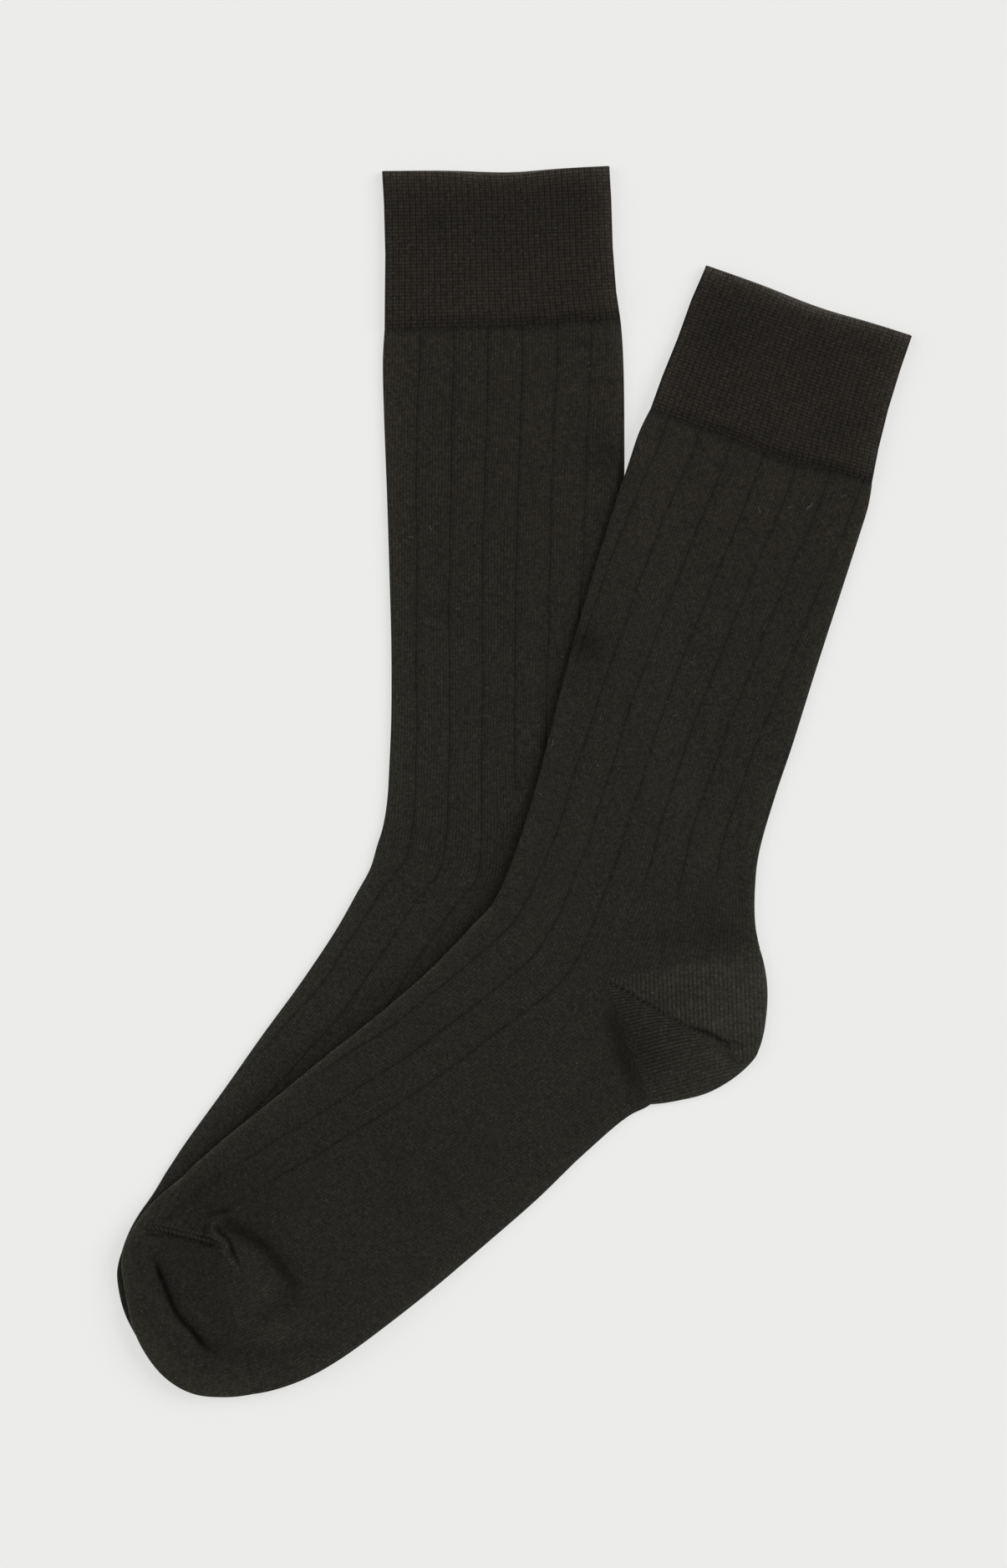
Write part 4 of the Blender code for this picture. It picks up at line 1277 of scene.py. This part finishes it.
def fibre_group(name):
    """The yarn's surface: fine fuzz, slow mottling of the dye, and rare pale flecks."""
    outputs = ("Fuzz", "Grain", "Mottle", "Fleck")
    tree, given, found = shader_group(name, {"Position": VECTOR}, *outputs)
    place = given["Position"]
    fuzz = noise(place, 2100.0, 3.0, 0.7)
    grain = noise(place, 1150.0, 2.0, 0.6)
    mottle = scaled(noise(place, 260.0), 0.5, times(noise(place, 55.0, 3.0), 0.5))
    fleck = eased(noise(place, 900.0, 1.0), 0.74, 0.8)
    send(found, Fuzz=fuzz, Grain=grain, Mottle=mottle, Fleck=fleck)
    return tree


def yarn_material(name, roughness):
    """A material for yarn: it, its tree, the place on the piece, and what the fibre gives."""
    material = bpy.data.materials.new(name)
    material.use_nodes = True
    tree = material.node_tree
    shader = tree.nodes["Principled BSDF"].inputs
    shader["Roughness"].default_value = roughness
    shader["Specular IOR Level"].default_value = 0.1
    place = tree.nodes.new("ShaderNodeTexCoord").outputs["Object"]
    group = shared("Yarn fibre", fibre_group)
    fibre = node(tree, "ShaderNodeGroup", {"Position": place}, node_tree=group)
    return material, tree, place, fibre.outputs


def paint(tree, colour, light, height, depth):
    """Puts a colour under its light and shade, and relief of a depth in mm, on the shader."""
    shader = tree.nodes["Principled BSDF"].inputs
    tint = node(tree, "ShaderNodeVectorMath", {0: colour, "Scale": light}, operation="SCALE")
    links = {"Strength": 1.0, "Distance": depth * MM, "Height": height}
    bump = node(tree, "ShaderNodeBump", links)
    tree.links.new(tint.outputs[0], shader["Base Color"])
    tree.links.new(bump.outputs["Normal"], shader["Normal"])


def attribute(tree, name):
    return node(tree, "ShaderNodeAttribute", attribute_name=name).outputs["Fac"]


def patterned(tree, name, make, **values):
    """What a shader group gives on the piece's own stitches."""
    values["Stitch"] = node(tree, "ShaderNodeUVMap", uv_map="stitches").outputs["UV"]
    return node(tree, "ShaderNodeGroup", values, node_tree=shared(name, make)).outputs


def knit_material(name, colour, loop_depth, gap_shade, rings=False, warmth=None):
    """Knitted yarn. gap_shade is how dark the painted shade in the gaps between loops is."""
    material, tree, place, fibre = yarn_material(name, 0.92)
    if rings:
        loops = patterned(tree, "Welt rings", rings_group)
    else:
        loops = patterned(tree, "Knit loops", loops_group, Stretch=attribute(tree, "stretch"))
    lines = attribute(tree, "lines")
    ladder = patterned(tree, "Drop-needle line", drop_line_group, Strength=lines)["Ladder"]
    light = scaled(loops["Shade"], 1 - gap_shade, gap_shade)
    # Each tone is a value times its factor, plus its start. The tone attribute carries the pieces'
    # painted shade and highlight, and the ladder darkens the drop-needle lines with painted shade.
    for value, factor, start in (
        (loops["Strand"], 1.0, 0.0),
        (fibre["Fuzz"], 1.9, 0.05),
        (fibre["Grain"], 1.4, 0.3),
        (fibre["Mottle"], 0.22, 0.89),
        (attribute(tree, "tone"), 1.0, 1.0),
        (ladder, -0.36, 1.0),
    ):
        light = times(light, scaled(value, factor, start))
    light = scaled(fibre["Fleck"], 1.5, light)
    if warmth:
        links = {0: colour, 1: combined(tree, eased(split(place)[1], *warmth), 1.0, 1.0)}
        colour = node(tree, "ShaderNodeVectorMath", links, operation="MULTIPLY").outputs[0]
    height = scaled(ladder, -0.6, scaled(fibre["Grain"], 0.8, loops["Height"]))
    paint(tree, colour, light, height, loop_depth)
    shader = tree.nodes["Principled BSDF"].inputs
    shader["Sheen Weight"].default_value = 0.4
    shader["Sheen Roughness"].default_value = 0.3
    return material


def thread_material(name, colour):
    """A single strand of yarn, or lint, with fine fuzz along it."""
    material, tree, _, fibre = yarn_material(name, 0.9)
    paint(tree, colour, scaled(fibre["Fuzz"], 0.9, 0.5), fibre["Fuzz"], 0.05)
    return material


# ---------------------------------------------------------------- stitches and lint


def strand_form(tree, length, bend, rise, thickness):
    """A short tube of yarn along X with an S bend, raised in the middle and thin at the ends."""
    half = times(length, 0.5)
    links = {"Resolution": 6}
    for title, share, side in (
        ("Start", -1.0, 0),
        ("Start Handle", -0.35, 1),
        ("End Handle", 0.35, -1),
        ("End", 1.0, 0),
    ):
        corner = (times(half, share), times(bend, side), times(rise, abs(side)))
        links[title] = combined(tree, *corner)
    segment = node(tree, "GeometryNodeCurvePrimitiveBezierSegment", links, mode="POSITION")
    links = {"Curve": segment.outputs[0], "Count": 7}
    path = node(tree, "GeometryNodeResampleCurve", links, mode="COUNT").outputs[0]
    place = node(tree, "GeometryNodeSplineParameter").outputs["Factor"]
    size = times(thickness, scaled(maths("SINE", times(place, math.pi)), 0.6, 0.4))
    circle = node(tree, "GeometryNodeCurvePrimitiveCircle", {"Resolution": 5, "Radius": 1.0})
    links = {"Curve": path, "Profile Curve": circle.outputs[0], "Scale": size, "Fill Caps": True}
    return node(tree, "GeometryNodeCurveToMesh", links).outputs[0]


def spread(tree, points, strand, turn, size, material, out):
    """Ends a tree: a strand at every point, turned and sized, as one painted mesh."""
    links = {"Points": points, "Instance": strand}
    links |= {"Rotation": combined(tree, 0.0, 0.0, turn), "Scale": combined(tree, *size)}
    found = node(tree, "GeometryNodeInstanceOnPoints", links).outputs[0]
    found = node(tree, "GeometryNodeRealizeInstances", {0: found}).outputs[0]
    found = node(tree, "GeometryNodeSetShadeSmooth", {0: found}).outputs[0]
    found = node(tree, "GeometryNodeSetMaterial", {0: found, "Material": material}).outputs[0]
    send(out, Geometry=found)


def random_value(tree, low, high, seed):
    links = {2: low, 3: high, "Seed": seed}
    return node(tree, "FunctionNodeRandomValue", links, data_type="FLOAT").outputs[1]


def stitches_tree(name):
    """Strands of yarn set at even spacing along a path, each turned by an angle from the path."""
    *numbers, seed = STITCH_INPUTS
    inputs = {"Geometry": GEOMETRY} | dict.fromkeys(numbers, NUMBER)
    inputs |= {seed: WHOLE, "Material": MATERIAL}
    tree, given, out = new_tree(name, "GeometryNodeTree", inputs, {"Geometry": GEOMETRY})
    path = node(tree, "GeometryNodeMeshToCurve", {0: given["Geometry"]}).outputs[0]
    links = {"Curve": path, "Length": given["Spacing"]}
    even = node(tree, "GeometryNodeResampleCurve", links, mode="LENGTH").outputs[0]
    along = split(node(tree, "GeometryNodeInputTangent").outputs[0])
    angle = maths("ADD", maths("ARCTAN2", along[1], along[0]), given["Angle"])
    turn = scaled(random_value(tree, -1.0, 1.0, given[seed]), given["Unevenness"], angle)
    other = random_value(tree, -1.0, 1.0, maths("ADD", given[seed], 7.0))
    size = scaled(other, given["Unevenness"], 1.0)
    form = [given[title] for title in ("Length", "Bend", "Rise", "Thickness")]
    strand = strand_form(tree, *form)
    spread(tree, even, strand, turn, (size, size, size), given["Material"], out)
    return tree


def lint_tree(name):
    """A curled fibre at every point, as long as the point's own size and turned at random."""
    inputs = {"Geometry": GEOMETRY, "Thickness": NUMBER, "Seed": WHOLE, "Material": MATERIAL}
    tree, given, out = new_tree(name, "GeometryNodeTree", inputs, {"Geometry": GEOMETRY})
    links = {"Name": "size"}
    size = node(tree, "GeometryNodeInputNamedAttribute", links, data_type="FLOAT").outputs[0]
    turn = random_value(tree, 0.0, 2 * math.pi, given["Seed"])
    curl = random_value(tree, -1.6, 1.6, maths("ADD", given["Seed"], 3.0))
    form = []
    for number in LINT_FORM:
        form.append(tree.nodes.new("ShaderNodeValue").outputs[0])
        form[-1].default_value = number * MM
    strand = strand_form(tree, *form, given["Thickness"])
    sizes = (size, times(size, maths("SIGN", curl)), 1.0)
    spread(tree, given["Geometry"], strand, turn, sizes, given["Material"], out)
    return tree


def grown(name, tree, mesh, values):
    """A piece made by a geometry tree from a mesh. values are the tree's inputs by name."""
    source = bpy.data.objects.new(name + "_source", mesh)
    bpy.context.scene.collection.objects.link(source)
    modifier = source.modifiers.new("tree", "NODES")
    modifier.node_group = tree
    for item in tree.interface.items_tree:
        if item.in_out == "INPUT" and item.name in values:
            modifier[item.identifier] = values[item.name]
    depsgraph = bpy.context.evaluated_depsgraph_get()
    baked = bpy.data.meshes.new_from_object(source.evaluated_get(depsgraph))
    bpy.data.objects.remove(source)
    if not baked.polygons:
        raise RuntimeError(f"{name} came out empty")
    baked.name = name
    baked.materials.pop(index=0)
    return placed(bpy.data.objects.new(name, baked), [])


def draped(sock, points, face, sink):
    """A sock's plan points, laid on the top (1) or bottom (-1) of its own knit pieces."""
    flat = in_pair(sock, np.asarray(points, float)) * MM
    depsgraph = bpy.context.evaluated_depsgraph_get()
    trees = []
    for piece in bpy.context.scene.objects:
        if piece.name.startswith(sock.name) and piece.name.endswith("_knit"):
            trees.append(BVHTree.FromObject(piece, depsgraph))
    laid = []
    for x, y in flat:
        hits = [tree.ray_cast((x, y, face * RAY_FROM), (0, 0, -face))[0] for tree in trees]
        heights = [hit.z for hit in hits if hit is not None]
        if not heights:
            raise RuntimeError(f"nothing of the {sock.name} sock lies at {x:.4f}, {y:.4f}")
        laid.append((x, y, face * (max(face * z for z in heights) - sink * MM)))
    return laid


def path_mesh(name, paths):
    """A mesh of polylines."""
    mesh = bpy.data.meshes.new(name)
    points = [point for path in paths for point in path]
    edges, first = [], 0
    for path in paths:
        edges += [(first + n, first + n + 1) for n in range(len(path) - 1)]
        first += len(path)
    mesh.from_pydata(points, edges, [])
    return mesh


def close_points(path, step=0.4):
    """Points every step along a polyline."""
    path = np.asarray(path, float)
    found = [path[:1]]
    for a, b in zip(path, path[1:]):
        count = max(1, round(np.hypot(*(b - a)) / step))
        found.append(a + (b - a) * (np.arange(1, count + 1) / count)[:, None])
    return np.concatenate(found)


def stitch_row(sock, name, path, faces, sink, stitch, yarn):
    """Stitches along a path of a sock's plan, sunk by sink mm into its top (1) or bottom (-1)."""
    *sizes, degrees, unevenness, seed = stitch
    numbers = [size * MM for size in sizes] + [math.radians(degrees), unevenness, seed]
    values = dict(zip(STITCH_INPUTS, numbers)) | {"Material": yarn}
    mesh = path_mesh(name, [draped(sock, path, face, sink) for face in faces])
    grown(name, shared("Stitches along a path", stitches_tree), mesh, values)


# ---------------------------------------------------------------- settings


def in_mm(name, description, default, least=0.0):
    description += ", in mm"
    return FloatProperty(name=name, description=description, default=default, min=least)


def linear_colour(name, description, *default):
    return FloatVectorProperty(
        name=name, description=description, subtype="COLOR", size=3, default=default
    )


def metres(name, description, default):
    return FloatProperty(
        name=name, description=description, default=default, subtype="DISTANCE", unit="LENGTH"
    )


def strength(name, description, default):
    return FloatProperty(name=name, description=description, default=default, min=0.0)


class SockSizes(bpy.types.PropertyGroup):
    """Sizes of the knit, in millimetres."""

    row_step: in_mm("Row step", "Length of a face along the leg", 1.1, 0.5)
    pocket_step: in_mm("Pocket step", "Size of a face on heel and toe", 0.75, 0.4)
    groove_depth: in_mm("Groove depth", "Depth of a drop-needle groove", 0.2)
    rib_crown: in_mm("Rib crown", "How far a wide rib swells between grooves", 0.14)
    welt_depth: in_mm("Welt rib depth", "Depth between two fine ribs of the welt", 0.22)


class SockYarns(bpy.types.PropertyGroup):
    """Colours of the yarns, linear."""

    welt: linear_colour("Welt", "Yarn of the welt", 0.0323, 0.0280, 0.0229)
    leg: linear_colour("Leg and foot", "Yarn of the leg and foot", 0.0308, 0.0281, 0.0225)
    heel: linear_colour("Heel", "Yarn of the heel", 0.0345, 0.0332, 0.0268)
    toe: linear_colour("Toe", "Yarn of the toe", 0.0232, 0.0214, 0.0170)
    lint: linear_colour("Lint", "Pale lint", 0.1, 0.097, 0.088)


class StageSettings(bpy.types.PropertyGroup):
    """Floor, lights and camera."""

    floor: linear_colour("Floor", "Colour of the floor", 0.8, 0.8, 0.785)
    glow: strength("Floor glow", "Light that the floor gives off itself", 0.77)
    sky: strength("Sky", "Strength of the even light from all round", 0.2)
    key: strength("Key light", "Strength of the large soft light at the right", 1.7)
    fill: strength("Fill light", "Strength of the weaker soft light at the left", 0.9)
    height: metres("Camera height", "Camera above the floor", 2.4)
    frame_height: metres("Frame height", "Length of floor that the picture takes in", 0.5628)


# ---------------------------------------------------------------- operators


def knit_pair(context, part, make, material, slot):
    """Makes one part of both socks and puts it in its node's place."""
    for sock in SOCKS:
        knit = make(sock, context.scene.sock_sizes)
        node_name = f"{sock.name}_{part}"
        piece = knit.piece(f"{node_name}_knit", material, [node_name], slot)
    return {"FINISHED"}


class SOCKS_OT_welts(bpy.types.Operator):
    """Knits the turned welts in fine ribs."""

    bl_idname = "socks.welts"
    bl_label = "Welts"

    def execute(self, context):
        yarn = context.scene.sock_yarns.welt
        material = knit_material("Welt knit", yarn, loop_depth=0.16, gap_shade=0.38, rings=True)
        return knit_pair(context, "welt", make_welt, material, "welt_knit")


class SOCKS_OT_legs_and_feet(bpy.types.Operator):
    """Knits each leg and foot as one tube with wide ribs."""

    bl_idname = "socks.legs_and_feet"
    bl_label = "Legs and feet"

    def execute(self, context):
        yarn = context.scene.sock_yarns.leg
        look = {"loop_depth": 0.14, "gap_shade": 0.6, "warmth": LEG_WARMTH}
        material = knit_material("Leg knit", yarn, **look)
        return knit_pair(context, "leg_and_foot", make_leg_and_foot, material, "leg_knit")


class SOCKS_OT_heels(bpy.types.Operator):
    """Knits the heel pockets."""

    bl_idname = "socks.heels"
    bl_label = "Heels"

    def execute(self, context):
        yarn = context.scene.sock_yarns.heel
        material = knit_material("Heel knit", yarn, loop_depth=0.16, gap_shade=0.57)
        make = partial(make_pocket, HEEL)
        return knit_pair(context, "heel", make, material, "heel_knit")


class SOCKS_OT_toes(bpy.types.Operator):
    """Knits the toe pockets."""

    bl_idname = "socks.toes"
    bl_label = "Toes"

    def execute(self, context):
        yarn = context.scene.sock_yarns.toe
        material = knit_material("Toe knit", yarn, loop_depth=0.08, gap_shade=0.86)
        make = partial(make_pocket, TOE)
        return knit_pair(context, "toe", make, material, "toe_knit")


class SOCKS_OT_gore_stitches(bpy.types.Operator):
    """Draws the widened loops along the gore of each heel, on both faces."""

    bl_idname = "socks.gore_stitches"
    bl_label = "Heel gore stitches"

    def execute(self, context):
        yarn = thread_material("Heel yarn", context.scene.sock_yarns.heel)
        for sock in SOCKS:
            path = turned(close_points(GORE_PATH), sock.bend * HEEL.bend)
            name = f"{sock.name}_gore_stitches"
            stitch_row(sock, name, path, (1, -1), 0.12, GORE_STITCH, yarn)
        return {"FINISHED"}


class SOCKS_OT_toe_linking(bpy.types.Operator):
    """Links the toe with a double row of small stitches."""

    bl_idname = "socks.toe_linking"
    bl_label = "Toe linking"

    def execute(self, context):
        pale = [LINKING_PALE * value for value in context.scene.sock_yarns.toe]
        yarn = thread_material("Linking yarn", pale)
        for sock in SOCKS:
            for row, (path, stitch) in enumerate(zip(LINKING_PATHS, LINKING_STITCHES), 1):
                path = turned(close_points(path), sock.bend * TOE.bend)
                name = f"{sock.name}_toe_linking_{row}"
                stitch_row(sock, name, path, (1,), 0.0, stitch, yarn)
        return {"FINISHED"}


class SOCKS_OT_welt_stitches(bpy.types.Operator):
    """Hooks the turned welt down along its base, on both faces."""

    bl_idname = "socks.welt_stitches"
    bl_label = "Welt stitches"

    def execute(self, context):
        yarn = thread_material("Welt yarn", context.scene.sock_yarns.welt)
        for sock in SOCKS:
            base = WELT[sock.name][-1]
            x = np.arange(-base[FRONT] + HOOKED_IN, base[BACK] - HOOKED_IN, 0.5)[:, None]
            side = np.where(x < 0, -direction(base[FRONT_DEG]), direction(base[BACK_DEG]))
            path = np.array(base[:2]) + x * side
            path[:, 1] += HOOKED_ABOVE - cuff_sag(sock, path[:, 0])
            name = f"{sock.name}_welt_stitches"
            stitch_row(sock, name, path, (1, -1), 0.16, WELT_STITCH, yarn)
        return {"FINISHED"}


class SOCKS_OT_lint(bpy.types.Operator):
    """Lays pale lint on the knit."""

    bl_idname = "socks.lint"
    bl_label = "Lint"

    def execute(self, context):
        fluff = thread_material("Lint", context.scene.sock_yarns.lint)
        values = {"Thickness": 0.08 * MM, "Seed": 5, "Material": fluff}
        for sock in SOCKS:
            bits = LINT[sock.name]
            name = f"{sock.name}_lint"
            mesh = bpy.data.meshes.new(name)
            mesh.from_pydata(draped(sock, [bit[:2] for bit in bits], 1, 0.0), [], [])
            size = mesh.attributes.new("size", "FLOAT", "POINT")
            size.data.foreach_set("value", [bit[2] for bit in bits])
            grown(name, shared("Lint", lint_tree), mesh, values)
        return {"FINISHED"}


class SOCKS_OT_stage(bpy.types.Operator):
    """Lays the floor, hangs the lights and sets the camera straight above."""

    bl_idname = "socks.stage"
    bl_label = "Stage"

    def execute(self, context):
        settings = context.scene.sock_stage
        mesh = bpy.data.meshes.new("floor")
        corners = ((-1, -1), (1, -1), (1, 1), (-1, 1))
        points = [(x * FLOOR_HALF, y * FLOOR_HALF, -FLOOR_DROP) for x, y in corners]
        mesh.from_pydata(points, [], [(0, 1, 2, 3)])
        paper = bpy.data.materials.new("Pale floor")
        paper.use_nodes = True
        shader = paper.node_tree.nodes["Principled BSDF"].inputs
        bounce = [FLOOR_BOUNCE * value for value in settings.floor]
        shader["Base Color"].default_value = (*bounce, 1)
        shader["Roughness"].default_value = 0.9
        shader["Specular IOR Level"].default_value = 0.0
        shader["Emission Color"].default_value = (*settings.floor, 1)
        shader["Emission Strength"].default_value = settings.glow
        mesh.materials.append(paper)
        self.linked(context, "floor", mesh)

        world = bpy.data.worlds.new("Soft room")
        world.use_nodes = True
        background = world.node_tree.nodes["Background"].inputs
        background["Color"].default_value = (1.0, 1.0, 0.995, 1)
        background["Strength"].default_value = settings.sky
        context.scene.world = world

        for name, (around, above) in LIGHTS.items():
            data = bpy.data.lights.new(name, "SUN")
            data.angle = math.radians(LIGHT_WIDTH)
            data.energy = getattr(settings, name)
            turn = (math.radians(90 - above), 0, math.radians(around + 90))
            self.linked(context, name, data).rotation_euler = turn

        data = bpy.data.cameras.new("camera")
        data.sensor_fit = "VERTICAL"
        data.sensor_height = SENSOR
        data.lens = SENSOR * settings.height / settings.frame_height
        data.clip_end = 20.0
        camera = self.linked(context, "camera", data)
        camera.location = (*CAMERA_PLACE, settings.height)
        context.scene.camera = camera
        context.scene.view_settings.view_transform = "Standard"
        return {"FINISHED"}

    def linked(self, context, name, data):
        thing = bpy.data.objects.new(name, data)
        context.scene.collection.objects.link(thing)
        return thing


class SOCKS_PT_panel(bpy.types.Panel):
    """Lists the socks' settings and the steps that build them."""

    bl_label = "Socks"
    bl_idname = "SOCKS_PT_panel"
    bl_space_type = "VIEW_3D"
    bl_region_type = "UI"
    bl_category = "Socks"

    def draw(self, context):
        for name in GROUPS:
            group = getattr(context.scene, name)
            box = self.layout.box()
            for setting in group.__annotations__:
                box.prop(group, setting)
        for operator in OPERATORS:
            self.layout.operator(operator.bl_idname)


GROUPS = {"sock_sizes": SockSizes, "sock_yarns": SockYarns, "sock_stage": StageSettings}
OPERATORS = (
    SOCKS_OT_welts,
    SOCKS_OT_legs_and_feet,
    SOCKS_OT_heels,
    SOCKS_OT_toes,
    SOCKS_OT_gore_stitches,
    SOCKS_OT_toe_linking,
    SOCKS_OT_welt_stitches,
    SOCKS_OT_lint,
    SOCKS_OT_stage,
)
CLASSES = (*GROUPS.values(), *OPERATORS, SOCKS_PT_panel)


def register():
    for cls in CLASSES:
        bpy.utils.register_class(cls)
    for name, cls in GROUPS.items():
        setattr(bpy.types.Scene, name, PointerProperty(type=cls))


def unregister():
    for name in GROUPS:
        delattr(bpy.types.Scene, name)
    for cls in reversed(CLASSES):
        bpy.utils.unregister_class(cls)


def main():
    register()
    bpy.ops.socks.welts()
    bpy.ops.socks.legs_and_feet()
    bpy.ops.socks.heels()
    bpy.ops.socks.toes()
    bpy.ops.socks.gore_stitches()
    bpy.ops.socks.toe_linking()
    bpy.ops.socks.welt_stitches()
    bpy.ops.socks.lint()
    bpy.ops.socks.stage()


if __name__ == "__main__":
    main()
